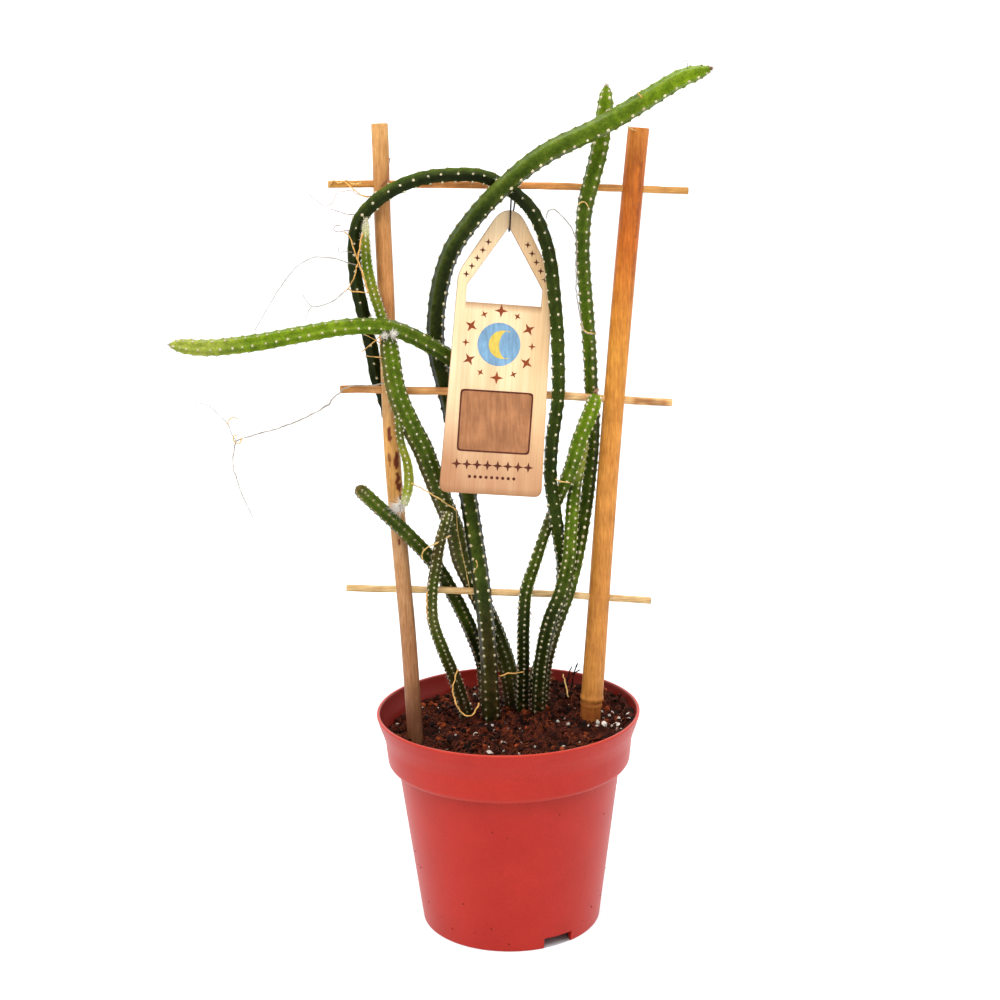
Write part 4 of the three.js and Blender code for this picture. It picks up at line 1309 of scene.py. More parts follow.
    def band(self, outer: Array, inner: Array, lift: float, tint: Colour, loop: bool = False) -> Patch:
        """Band of ink between two outlines, with a closed cross-section as high as the lift.

        Args:
            outer: Places on the board.
            inner: As many places.
            lift: Height over the board.
            tint: Colour of the ink.
            loop: The outlines are closed.

        Returns:
            The band.
        """
        base = self.thickness / 2
        section = [(outer, base), (inner, base), (inner, base + lift), (outer, base + lift)]
        rows = [self.placed(line[:, 0], line[:, 1], np.full(len(line), out)) for line, out in section]
        return grid_patch(np.stack(rows, 1), tint, loop=loop)

    @staticmethod
    def round_outline(centre: Pair, radius: float, count: int = 72) -> Array:
        """Circle about a centre."""
        turn = turns(count)
        return np.array(centre) + radius * np.stack([np.sin(turn), np.cos(turn)], -1)

    @staticmethod
    def star_outline(centre: Pair, radius: float, turned: float = 0.0) -> Array:
        """Star of four points: a circle whose radius drops to a third between the points.

        Args:
            centre: Its place on the board.
            radius: Reach of its points.
            turned: Its turn in radians.

        Returns:
            Places on the board.
        """
        turn = turns(8) + turned
        reach = np.where(np.arange(8) % 2 == 0, radius, radius * 0.34)
        return np.array(centre) + reach[:, None] * np.stack([np.sin(turn), np.cos(turn)], -1)

    def panel_outline(self, inset: float) -> Array:
        """Rectangle with rounded corners: a superellipse of a high power.

        Args:
            inset: Distance inside the panel's edge.

        Returns:
            Places on the board.
        """
        turn = turns(96)
        wave = np.stack([np.cos(turn), np.sin(turn)], -1)
        half = np.array(self.panel_half) - inset
        return np.array(self.panel) + half * np.sign(wave) * np.abs(wave) ** (2 / self.panel_power)

    def crescent(self) -> Patch:
        """Sickle between an outer and an inner arc, which meet at its two horns.

        Returns:
            The sickle.
        """
        t = np.linspace(-1, 1, 40)
        angle = t * math.radians(self.moon_half_turn)
        centre = np.array((self.disc[0] + self.moon_shift, self.disc[1]))
        outer = centre + self.moon_radius * np.stack([-np.cos(angle), np.sin(angle)], -1)
        inset = 0.75 * self.moon_radius * np.cos(t * math.pi / 2) ** 0.8 + 0.02
        inner = outer + np.stack([inset, np.zeros_like(inset)], -1)
        return self.band(outer, inner, self.moon_lift, self.moon)

    def ring_stars(self) -> list[Array]:
        """Stars round the disc, large and small by turns, each turned to point outward.

        Returns:
            The outline of each star.
        """
        made = []
        for index in range(self.star_count):
            turn = index / self.star_count * FULL_TURN
            across = self.disc[0] + self.star_ring * math.sin(turn)
            down = self.disc[1] + self.star_ring * math.cos(turn)
            made.append(self.star_outline((across, down), self.star_sizes[index % 2], turn))
        return made

    def border_stars(self) -> list[Array]:
        """Row of stars and row of dots along the foot, and a row of stars on each side of the gable.

        Returns:
            The outline of each star and dot.
        """
        foot = [self.star_outline((x, 108.4), 2.3) for x in np.linspace(-15.5, 15.5, 8)]
        dots = [self.round_outline((x, 113.6), 0.7, 16) for x in np.linspace(-9.6, 9.6, 9)]
        gable = [self.star_outline((side * (8.4 + 2.1 * step), 14 + 3.5 * step), 1.5)
                 for side in (-1, 1) for step in range(5)]
        return foot + dots + gable

    def build(self) -> None:
        """Makes the board and its print."""
        board, uv = self.board()
        add_piece("tag_board", board, BOARD, ["tag"], crease=self.crease, uv=uv)
        border = self.band(self.panel_outline(0), self.panel_outline(self.border_width), self.border_lift,
                           self.dark_stain, loop=True)
        printed = {
            "tag_sky": self.plate(self.round_outline(self.disc, self.disc_radius), self.sky),
            "tag_moon": self.crescent(),
            "tag_border_stars": merged([self.plate(star, self.dark_stain) for star in self.border_stars()]),
            "tag_stars": merged([self.plate(star, self.star) for star in self.ring_stars()]),
            "tag_panel": self.plate(self.panel_outline(0), self.stain),
            "tag_panel_border": border,
        }
        for name, ink in printed.items():
            add_piece(name, ink, INK, crease=self.ink_crease)


@dataclass
class HangingWire:
    """Closed loop of black wire round the top rung and the tag's gable."""

    radius: float = 0.34
    spacing: float = 0.5
    sides: int = 10
    overlap: int = 3
    search: int = 60
    tint: Colour = colour(26, 22, 20)
    loop: Line = (
        (4.6, -8, 337.1), (4.4, -9.9, 336.3), (4.2, -10.6, 334.1), (3.5, -12, 325.5), (3, -12.5, 318.5),
        (2.8, -11.9, 316.1), (2.8, -10.6, 315.7), (2.9, -9.2, 316.6), (3.7, -8.6, 319.5), (5.6, -6.8, 326),
        (6.3, -5.5, 333.2), (5.8, -6.1, 336.1),
    )

    def build(self) -> None:
        """A circle carried round the closed line, whose last point joins its first.

        The curve runs on past both ends of the loop, and is cut where it comes closest to
        the first knot.
        """
        knots = (*self.loop[-self.overlap:], *self.loop, *self.loop[: self.overlap])
        line = smooth_line(knots, self.spacing)
        away = np.linalg.norm(line - self.loop[0], axis=1)
        start = int(np.argmin(away[: self.search]))
        end = len(line) - self.search + int(np.argmin(away[-self.search:]))
        path = line[start:end]
        tangent = unit(np.roll(path, -1, axis=0) - np.roll(path, 1, axis=0))
        front = np.broadcast_to([1.0, 0, 0], path.shape)
        side = unit(np.cross(tangent, front))
        points = path[:, None] + self.radius * round_line(turns(self.sides), front, side)
        add_piece("tag_wire_loop", grid_patch(points, self.tint, loop=True), WIRE, ["tag_wire"])


# ---------------- stems


class Tip(Enum):
    """How a shoot ends: the length of its tip over its radius."""

    ROUND = 1.25
    POINTED = 3.2


TIP_ROWS = 10
TIP_CROWDING = 3.5
POINTS_A_RIB = 10
SWELLING = 0.16
SWELLING_REACH = (1.05, 0.95)
NOTCH = (0.06, 0.3)
THIN_SHOOT = 2.5
UNEVEN = 0.08
SPINES = 5
SPINE_LENGTH = 1.7
SPINE_WIDTH = 0.06
SPINE_LEAN = (22, 72)
BRISTLE_WIDTH = 0.11

BRIGHT: Colour = colour(108, 134, 18)
FRESH: Colour = colour(84, 108, 16)
LEAF: Colour = colour(70, 88, 18)
MID: Colour = colour(54, 68, 14)
DEEP: Colour = colour(38, 47, 14)
BLACKISH: Colour = colour(26, 33, 8)
OLD: Colour = colour(62, 53, 27)
MOSS: Colour = colour(76, 80, 34)
# Painted highlight on the upper sides of the front stem and the arch.
HIGHLIGHT_GREEN: Colour = colour(150, 180, 58)
OLIVE: Colour = colour(126, 130, 38)
LIME: Colour = colour(148, 158, 62)
CREAM: Colour = colour(226, 219, 188)
WHITE: Colour = colour(238, 236, 224)
BUFF: Colour = colour(170, 148, 112)
PALE_DOWN: Colour = colour(250, 248, 244)
BROWN: Colour = colour(98, 66, 40)


@dataclass(frozen=True)
class Shoot:
    """One shoot: its line, its ribs, its areoles and its colours from the foot to the tip.

    A point of the line is x, y, z and the radius over the ribs. The pitch is the
    distance between two areoles on a rib, at the foot and at the tip. The first rib
    stands at so many degrees from the front, and the ribs turn by the twist in all.
    A bare rib has no areoles beyond its share of the line. The side tone and highlight
    tints the side that faces its way: a brown tone on the left stems, and a painted
    highlight on the upper, lit side of the front stem and the arch.
    """

    line: Line
    ribs: int
    pitch: Pair
    tones: Tones
    first: float = 0.0
    twist: float = 0.0
    tip: Tip = Tip.ROUND
    groove: float = 0.2
    # Colour and share of the paler ribs: partly their own tone, partly painted highlight.
    crest: Colour = LIME
    crest_and_highlight_share: float = 0.25
    wool: Colour = CREAM
    wool_size: float = 0.58
    bare: tuple[tuple[int, float], ...] = ()
    flush: Colour = BROWN
    side_tone_and_highlight_share: float = 0.0
    side_tone_and_highlight_way: Point = (-1, 0, 0)


def as_dark(other: Colour, tint: Array, least: float) -> Array:
    """The other colour, darker where the tint's green is darker than its own, to the least share."""
    return np.array(other) * np.sqrt(tint[..., 1:2] / other[1]).clip(least, 1)


@dataclass
class Sections:
    """A shoot measured out along its line, ready for its skin, areoles and spines."""

    shoot: Shoot
    spacing: float = 0.8
    run: Array = field(init=False)
    path: Array = field(init=False)
    radius: Array = field(init=False)
    count: Array = field(init=False)
    axes: tuple[Array, Array, Array] = field(init=False)

    def __post_init__(self) -> None:
        """Rows every step along the line and closer over the tip, with a running count of areoles.

        The count grows by the step over the pitch, so areoles stand where it is whole.
        """
        shoot = self.shoot
        fine = smooth_line(shoot.line, self.spacing / 2)
        known = length_along(fine[:, :3])
        total, last = known[-1], fine[-1, 3]
        dome = shoot.tip.value * last
        body = np.linspace(0, total - dome, max(4, round((total - dome) / self.spacing)))
        over = total - dome * np.cos(np.linspace(0, math.pi / 2, TIP_ROWS)[1:])
        over[-1] = total - 0.02
        self.run = np.unique(np.concatenate([body, over]))
        rows = interpolated(self.run, known, fine)
        self.path = rows[:, :3]
        to_tip = np.clip((total - self.run) / dome, 0, 1)
        self.radius = rows[:, 3] * np.maximum(0.05, np.sqrt(1 - (1 - to_tip) ** 2))
        pitch = np.interp(self.run / total, [0, 1], shoot.pitch)
        pitch = pitch * (0.5 + 0.5 * smoothstep(0, TIP_CROWDING * last, total - self.run))
        self.count = np.cumsum(np.diff(self.run, prepend=0) / pitch)
        self.axes = frames_along(self.path, (0, -1, 0))

    def offsets(self) -> Array:
        """Share of a pitch that shifts each rib's areoles, so that they don't stand in rings."""
        rib = np.arange(self.shoot.ribs)
        return (rib * 0.5 + 0.13 * np.sin(rib * 2.4)) % 1

    def skin(self) -> Patch:
        """Ribbed skin: the radius swings between groove and crest, and swells under each areole.

        Crest share = how far a regular polygon's outline lies between the middle of a
        face, 0, and a corner, 1. Radius = radius over the ribs x (1 - groove x (1 - crest
        share)) + swelling x a bell over each areole - notch x crest share between them.

        Returns:
            The skin.
        """
        ribs = self.shoot.ribs
        angle, half = turns(ribs * POINTS_A_RIB), math.pi / ribs
        apothem = math.cos(half)
        in_face = (angle + half) % (FULL_TURN / ribs) - half
        share = (apothem / np.cos(half - np.abs(in_face)) - apothem) / (1 - apothem)
        rib = np.round(angle / FULL_TURN * ribs).astype(int) % ribs
        turned = angle * ribs / FULL_TURN
        arc = (turned - np.round(turned))[None] * FULL_TURN / ribs * self.radius[:, None]
        beat = self.count[:, None] - self.offsets()[rib][None]
        pitch = (np.gradient(self.run) / np.maximum(np.gradient(self.count), 1e-6))[:, None]
        away = (beat - np.round(beat)) * pitch
        bell = np.exp(-((away / SWELLING_REACH[0]) ** 2) - (arc / SWELLING_REACH[1]) ** 2)
        reach = self.radius[:, None] * (1 - self.shoot.groove * (1 - share))
        scale = np.minimum(1, self.radius / THIN_SHOOT)[:, None]
        notch = NOTCH[0] * share * (1 - np.exp(-((away / (NOTCH[1] * pitch)) ** 2)))
        reach = reach + scale * (SWELLING * bell - notch)
        outward = self.outward(angle)
        points = self.path[:, None] + reach[..., None] * outward
        points = points + UNEVEN * scale[..., None] * ripple(points, 3.2, 81)[..., None] * outward
        return grid_patch(points, self.skin_tint(points, share, bell))

    def outward(self, angle: Array) -> Array:
        """Directions away from the line, which turn with the twist.

        Args:
            angle: Angles round the shoot.

        Returns:
            Rows by angles by 3.
        """
        twist = self.shoot.twist * self.run / self.run[-1]
        _, front, side = self.axes
        return round_line(np.radians(self.shoot.first + twist)[:, None] + angle[None], front, side)

    def skin_tint(self, points: Array, share: Array, bell: Array) -> Array:
        """Colour along the shoot, with paler ribs partly as painted highlight, painted shade in the grooves,
        and corky near the soil.

        Args:
            points: Rows by columns by 3.
            share: Crest share of each column.
            bell: The bell over the areoles, at each point.

        Returns:
            A colour for each point.
        """
        shoot = self.shoot
        tint = toned(shoot.tones, self.run / self.run[-1], len(share))
        # Painted shade in the grooves.
        tint = tint * (1 - 0.22 * (1 - share) ** 2)[None, :, None]
        # Brown on the left side of the left stems, painted highlight on the upper side of the front stem and
        # the arch.
        away = unit(points - self.path[:, None])
        facing = (away @ unit(np.array(shoot.side_tone_and_highlight_way, float))).clip(0, 1) ** 2
        tint = blended(tint, as_dark(shoot.flush, tint, 0.5), shoot.side_tone_and_highlight_share * facing)
        # Paler ribs, partly the ribs' own tone and partly painted highlight; the bell adds pale halos round
        # the areoles.
        on_crest_and_highlight = np.maximum(shoot.crest_and_highlight_share * (share**5)[None], 0.3 * bell)
        tint = blended(tint, as_dark(shoot.crest, tint, 0), on_crest_and_highlight)
        coarse, middle, fine = ripple(points, 9, 82), ripple(points, 3.1, 86), ripple(points, 1.3, 83)
        mottle = 0.09 * coarse + 0.1 * middle + 0.08 * fine
        tint = tint * (1 + mottle).clip(0.35)[..., None]
        cork = smoothstep(122, 98, points[..., 2]) * smoothstep(0.0, 0.9, ripple(points, 4, 84))
        scars = smoothstep(1.25, 1.7, ripple(points, 3.4, 85)) * smoothstep(0.2, 0.9, share)[None]
        return blended(tint, BROWN, np.clip(0.45 * cork + 0.35 * scars, 0, 1))

    def areoles(self) -> tuple[Array, Array]:
        """Places and three axes of all the areoles: across the rib, along it and out from it.

        Returns:
            Areoles by 3, and areoles by 3 axes by 3.
        """
        shoot = self.shoot
        places, axes, bare = [], [], dict(shoot.bare)
        for rib, offset in enumerate(self.offsets()):
            beats = np.arange(math.ceil(self.count[0] - offset), self.count[-1] - offset) + offset
            beats = beats + 0.09 * np.sin(beats * 2.3 + 5 * rib) + 0.06 * np.sin(beats * 5.1 + rib)
            at = np.interp(beats, self.count, self.run)
            at = at[at < min(self.run[-1] - 0.25 * self.radius[-12], bare.get(rib, 1) * self.run[-1])]
            turn = math.radians(shoot.first) + rib * FULL_TURN / shoot.ribs
            turn = turn + math.radians(shoot.twist) * at / self.run[-1]
            tangent, front, side = (interpolated(at, self.run, axis) for axis in self.axes)
            out = unit(np.cos(turn)[:, None] * front + np.sin(turn)[:, None] * side)
            reach = np.interp(at, self.run, self.radius) + 0.06
            places.append(interpolated(at, self.run, self.path) + reach[:, None] * out)
            axes.append(np.stack([np.cross(tangent, out), tangent, out], 1))
        places, axes = np.vstack(places), np.vstack(axes)
        above = places[:, 2] > SOIL.height(places[:, 0], places[:, 1]) + 1.2
        return places[above], axes[above]


def cushion_shape() -> Patch:
    """Woolly cushion: a low dome of three rings, a little ragged.

    Returns:
        The cushion, about 2 across.
    """
    turn = turns(7)
    ragged = 1 + 0.12 * np.sin(turn * 3 + 1)
    radius, height = np.array([(1.0, -0.25), (0.86, 0.35), (0.4, 0.68)]).T[..., None]
    return grid_patch(rings(radius * ragged, height, turn), (1.0, 1.0, 1.0))


@dataclass(frozen=True)
class Stem:
    """One grown stem with its branches, as one CAD node."""

    name: str
    node: str
    slot: str
    shoots: tuple[Shoot, ...]
    seed: int

    def build(self) -> None:
        """Makes the skin, the woolly areoles and the spines."""
        parts = [Sections(shoot) for shoot in self.shoots]
        add_piece(self.name, merged([part.skin() for part in parts]), SKIN, [self.node])
        cushions, spines = [], []
        for index, part in enumerate(parts):
            draw = np.random.default_rng(self.seed * 10 + index)
            places, axes = part.areoles()
            if len(places) == 0:
                continue
            cushions.append(self.cushions(draw, part.shoot, places, axes))
            spines.append(self.spines(draw, places, axes))
        add_piece(f"{self.name}_areoles", merged(cushions), WOOL)
        add_piece(f"{self.name}_spines", merged(spines), SPINE)

    @staticmethod
    def cushions(draw: np.random.Generator, shoot: Shoot, places: Array, axes: Array) -> Patch:
        """One woolly cushion on each areole, different in size and tone, browner near the soil.

        Args:
            draw: Random numbers.
            shoot: The shoot that they are on.
            places: Areoles by 3.
            axes: Areoles by 3 axes by 3.

        Returns:
            All the cushions.
        """
        count = len(places)
        size = shoot.wool_size * draw.uniform(0.65, 1.15, (count, 1)) * np.array([0.95, 1.1, 0.8])
        tone = blended(shoot.wool, BUFF, draw.uniform(0, 0.4, count))
        # Darker and browner towards the soil.
        away_from_soil = 0.45 + 0.55 * smoothstep(100, 150, places[:, 2])
        tone = blended(BROWN, tone, away_from_soil)
        return scattered(cushion_shape(), places, axes, size, tone * draw.uniform(0.8, 1.05, (count, 1)))

    @staticmethod
    def spines(draw: np.random.Generator, places: Array, axes: Array) -> Patch:
        """Needles that fan out from each areole, evenly round it with a random lean.

        Args:
            draw: Random numbers.
            places: Areoles by 3.
            axes: Areoles by 3 axes by 3.

        Returns:
            All the needles.
        """
        count = len(places) * SPINES
        fan = np.arange(SPINES) / SPINES * FULL_TURN
        turn = (fan + draw.uniform(0, FULL_TURN, (len(places), 1))).ravel()
        turn = turn + draw.normal(0, 0.3, count)
        lean = np.radians(draw.uniform(*SPINE_LEAN, count))
        across, along, out = (np.repeat(axes[:, part], SPINES, axis=0) for part in range(3))
        flat = np.cos(turn)[:, None] * across + np.sin(turn)[:, None] * along
        up = np.cos(lean)[:, None] * out + np.sin(lean)[:, None] * flat
        frames = upright_axes(up, across + 0.3 * out)
        length = SPINE_LENGTH * draw.uniform(0.45, 1.0, count)
        width = np.full(count, SPINE_WIDTH)
        starts = np.repeat(places, SPINES, axis=0) + 0.1 * out
        tone = blended(WHITE, BROWN, draw.uniform(0, 0.75, count))
        return scattered(needle_shape(), starts, frames, np.stack([width, width, length], -1), tone)


@dataclass(frozen=True)
class Tuft:
    """Soft bristles at a growing tip: its place, the way it points, and its look."""

    place: Point
    toward: Point
    count: int
    length: float
    spread: float
    tint: Colour
    seed: int

    def patch(self) -> Patch:
        """Needles from one spot, leaning out from the middle by a random share of the spread.

        Returns:
            The tuft.
        """
        draw = np.random.default_rng(self.seed)
        axis = unit(np.array(self.toward, float))
        up = unit(axis + self.spread * draw.normal(size=(self.count, 3)))
        frames = upright_axes(up, draw.normal(size=(self.count, 3)))
        starts = np.array(self.place) + draw.normal(0, 0.45, (self.count, 3))
        length = self.length * draw.uniform(0.4, 1, self.count)
        width = np.full(self.count, BRISTLE_WIDTH)
        tone = np.array(self.tint) * draw.uniform(0.75, 1.05, (self.count, 1))
        return scattered(needle_shape(), starts, frames, np.stack([width, width, length], -1), tone)


FRONT_LINE: Line = (
    (-6.5, 10, 81, 4.4), (-7.5, 3, 95.5, 4.4), (-9, -6, 127.5, 4), (-12, -14.5, 160.5, 4),
    (-14.5, -11.5, 182.5, 4), (-16.9, -7.5, 202.2, 4), (-20.8, -4, 226.3, 4), (-25.1, -2, 248.3, 4),
    (-28.7, -2.5, 266, 4), (-27.7, -5, 287, 4), (-22.6, -9.5, 306, 4), (-13.3, -15.5, 320.6, 4),
    (-0.6, -22.5, 334.4, 4), (16.3, -24.5, 347.1, 4.4), (41, -25, 358.6, 4.3), (61, -26, 369.9, 4.2),
    (73.1, -27, 376.7, 3.9), (85.1, -28, 380.3, 3),
)
ARM_LINE: Line = (
    (-21.3, -4, 226.3, 3), (-18.2, -3, 236.8, 3.3), (-16.1, -2, 246.3, 3.5), (-17.6, -5, 255.1, 3.5),
    (-21.2, -8.5, 260.5, 3.5), (-25.6, -10.5, 264.4, 3.5), (-31.4, -12.5, 268.3, 3.5),
    (-40.1, -16, 273.4, 3.5), (-50.1, -20, 277.6, 3.5), (-66, -21.5, 278.5, 3.5), (-86.4, -22, 275.9, 3.5),
    (-106.9, -22, 272.8, 3.6), (-126, -21.5, 271.5, 3.5), (-140.5, -20.5, 273.2, 2.8),
)
LEFT_TALL_LINE: Line = (
    (2.5, 20, 83, 4.2), (3.9, 14.5, 96, 4.2), (1, 8.5, 116, 4.2), (-4.8, 3.5, 134.6, 4.2),
    (-13.9, -1.5, 157.2, 4.2), (-20, -3, 171.5, 4.2), (-23, -5, 186, 4.2), (-27, -8, 197, 4.2),
    (-31.7, -11, 210.4, 4.4), (-36.7, -14, 224.8, 4.5), (-42.8, -16, 237.9, 4.4), (-47.2, -16.5, 250.6, 4.2),
    (-49, -16.5, 263.5, 4.1), (-50, -15.5, 273.5, 3.6),
)
DROP_LINE: Line = (
    (-46, -16.5, 243, 1.6), (-46.5, -18.5, 236, 1.6), (-45.5, -18.5, 227, 1.6), (-43.5, -18, 219, 2),
    (-43, -17, 211.5, 2.2), (-44, -16.5, 205.5, 2.1), (-46, -16, 199.5, 1.7),
)
YOUNG_LINE: Line = (
    (-50, -15.5, 268.5, 2.2), (-51, -14.6, 276, 2.2), (-53, -14.3, 284, 2.2), (-55.5, -14.5, 292.5, 2.3),
    (-57.5, -14.5, 302, 2.4), (-58, -16, 311.5, 2.1), (-57.5, -17.5, 322, 1.3),
)
LEFT_SLIM_LINE: Line = (
    (-17, 13, 81.5, 2.9), (-19, 7, 96.5, 2.9), (-24, -0.5, 115, 2.9), (-29.5, -6.5, 131, 2.8),
    (-34, -11.5, 147, 2.5), (-34, -14, 161.5, 2.4), (-32.5, -16, 171.5, 2.4), (-30, -16, 184, 2.4),
    (-26, -16, 197, 2),
)
LEFT_LOW_LINE: Line = (
    (-7, 26, 84, 3.2), (-8, 20, 98, 3.2), (-10, 12.5, 117, 3.2), (-15, 6, 133.5, 3.2), (-20.5, 1, 147.5, 3.2),
    (-25, -2.5, 157.5, 3.2), (-29.5, -5.5, 166.5, 3.2), (-35.5, -10, 176, 3.2), (-42, -14.5, 184.5, 3.2),
    (-49.5, -16.5, 193, 3.2), (-58, -18, 202, 3.2), (-65.5, -19.5, 210, 3),
)
ARCH_LINE: Line = (
    (13.5, 37, 79, 3), (13.5, 30, 95.5, 3), (17.5, 16, 117, 3), (21.6, 3, 139.8, 3), (24.8, -2.5, 155.3, 3),
    (25, -4.5, 168.5, 3), (22.8, -10.5, 180.5, 3), (20.4, -15, 194, 3), (18.5, -15.5, 209.5, 3),
    (19.5, -15, 226.5, 3), (22, -15.5, 244, 3), (22, -17.5, 265.5, 3), (20.7, -18, 287, 3),
    (18.1, -17.5, 307.9, 3), (12.6, -16, 322.9, 3), (4, -15.2, 332, 3), (-7.7, -14, 338.4, 3),
    (-20, -14, 339.5, 3), (-32.6, -13.5, 338.5, 3), (-45.4, -15, 334.2, 3), (-54.8, -14.5, 327.9, 3),
    (-60.4, -12, 320.9, 3), (-62.3, -9.5, 311.5, 3), (-62.2, -8, 296.6, 3), (-59.5, -5.5, 281.7, 3),
    (-56.6, -3.5, 266.7, 3), (-54.6, -2.5, 253.2, 3), (-52.3, -1.5, 246.1, 3), (-50.6, -0.5, 239.6, 3),
    (-50, 0, 231, 2.6),
)
RIGHT_TALL_LINE: Line = (
    (17, 20, 80, 3.2), (17, 13.5, 96, 3.2), (17.5, 3, 118.5, 3.2), (20.5, -7.5, 138.5, 3.2),
    (24, -13, 151.3, 3.1), (26.3, -13.5, 158.2, 3.1), (31.5, -9.5, 176.4, 3.1), (35.9, -5, 196.9, 3.1),
    (38.5, -3.5, 217, 3.1), (39.4, -2.5, 232.5, 3.1), (38.8, -2.5, 243, 3.1), (37.8, -4, 263.5, 3.1),
    (35.8, -7.5, 285.5, 3.1), (34, -11, 307, 3.1), (34.8, -13, 325, 3.5), (37.6, -14, 336.4, 3.7),
    (40.8, -14, 348.3, 3.8), (43.1, -14, 362.9, 3.6), (44.1, -14, 375, 3.2),
)
RIGHT_INNER_LINE: Line = (
    (8.5, 14, 79.5, 2.9), (7.5, 7.5, 94, 2.9), (7, -2.5, 121, 2.9), (6.5, -10, 142, 2.9),
    (7.5, -13.5, 159, 2.9), (11.1, -13.5, 169.8, 2.6), (15.4, -10.5, 180.6, 2.4), (19, -7.5, 188.8, 2.4),
    (22.2, -8.5, 197.4, 2.5), (24.5, -11, 204, 2.8), (28, -14, 214, 3.2), (31.6, -14.5, 225.8, 3.4),
    (34.9, -14.5, 233.8, 3.5), (37.8, -14.5, 241.4, 3.4), (39, -14.5, 246, 3),
)
RIGHT_SHORT_LINE: Line = (
    (15.5, 11.5, 78, 3.2), (14.5, 5, 93.5, 3.2), (14.5, -7, 122, 3.2), (17.6, -16.5, 145.8, 3.2),
    (22.5, -20, 159.8, 3.2), (25.9, -18.5, 173.4, 2.9), (27.5, -15, 186, 2.8), (29, -10.5, 196, 2.8),
    (30.5, -8.5, 204.5, 2.7), (32.5, -8.5, 214, 2.5), (35, -8.5, 224.5, 2),
)

POT = GrowerPot()
SOIL = Peat(POT)

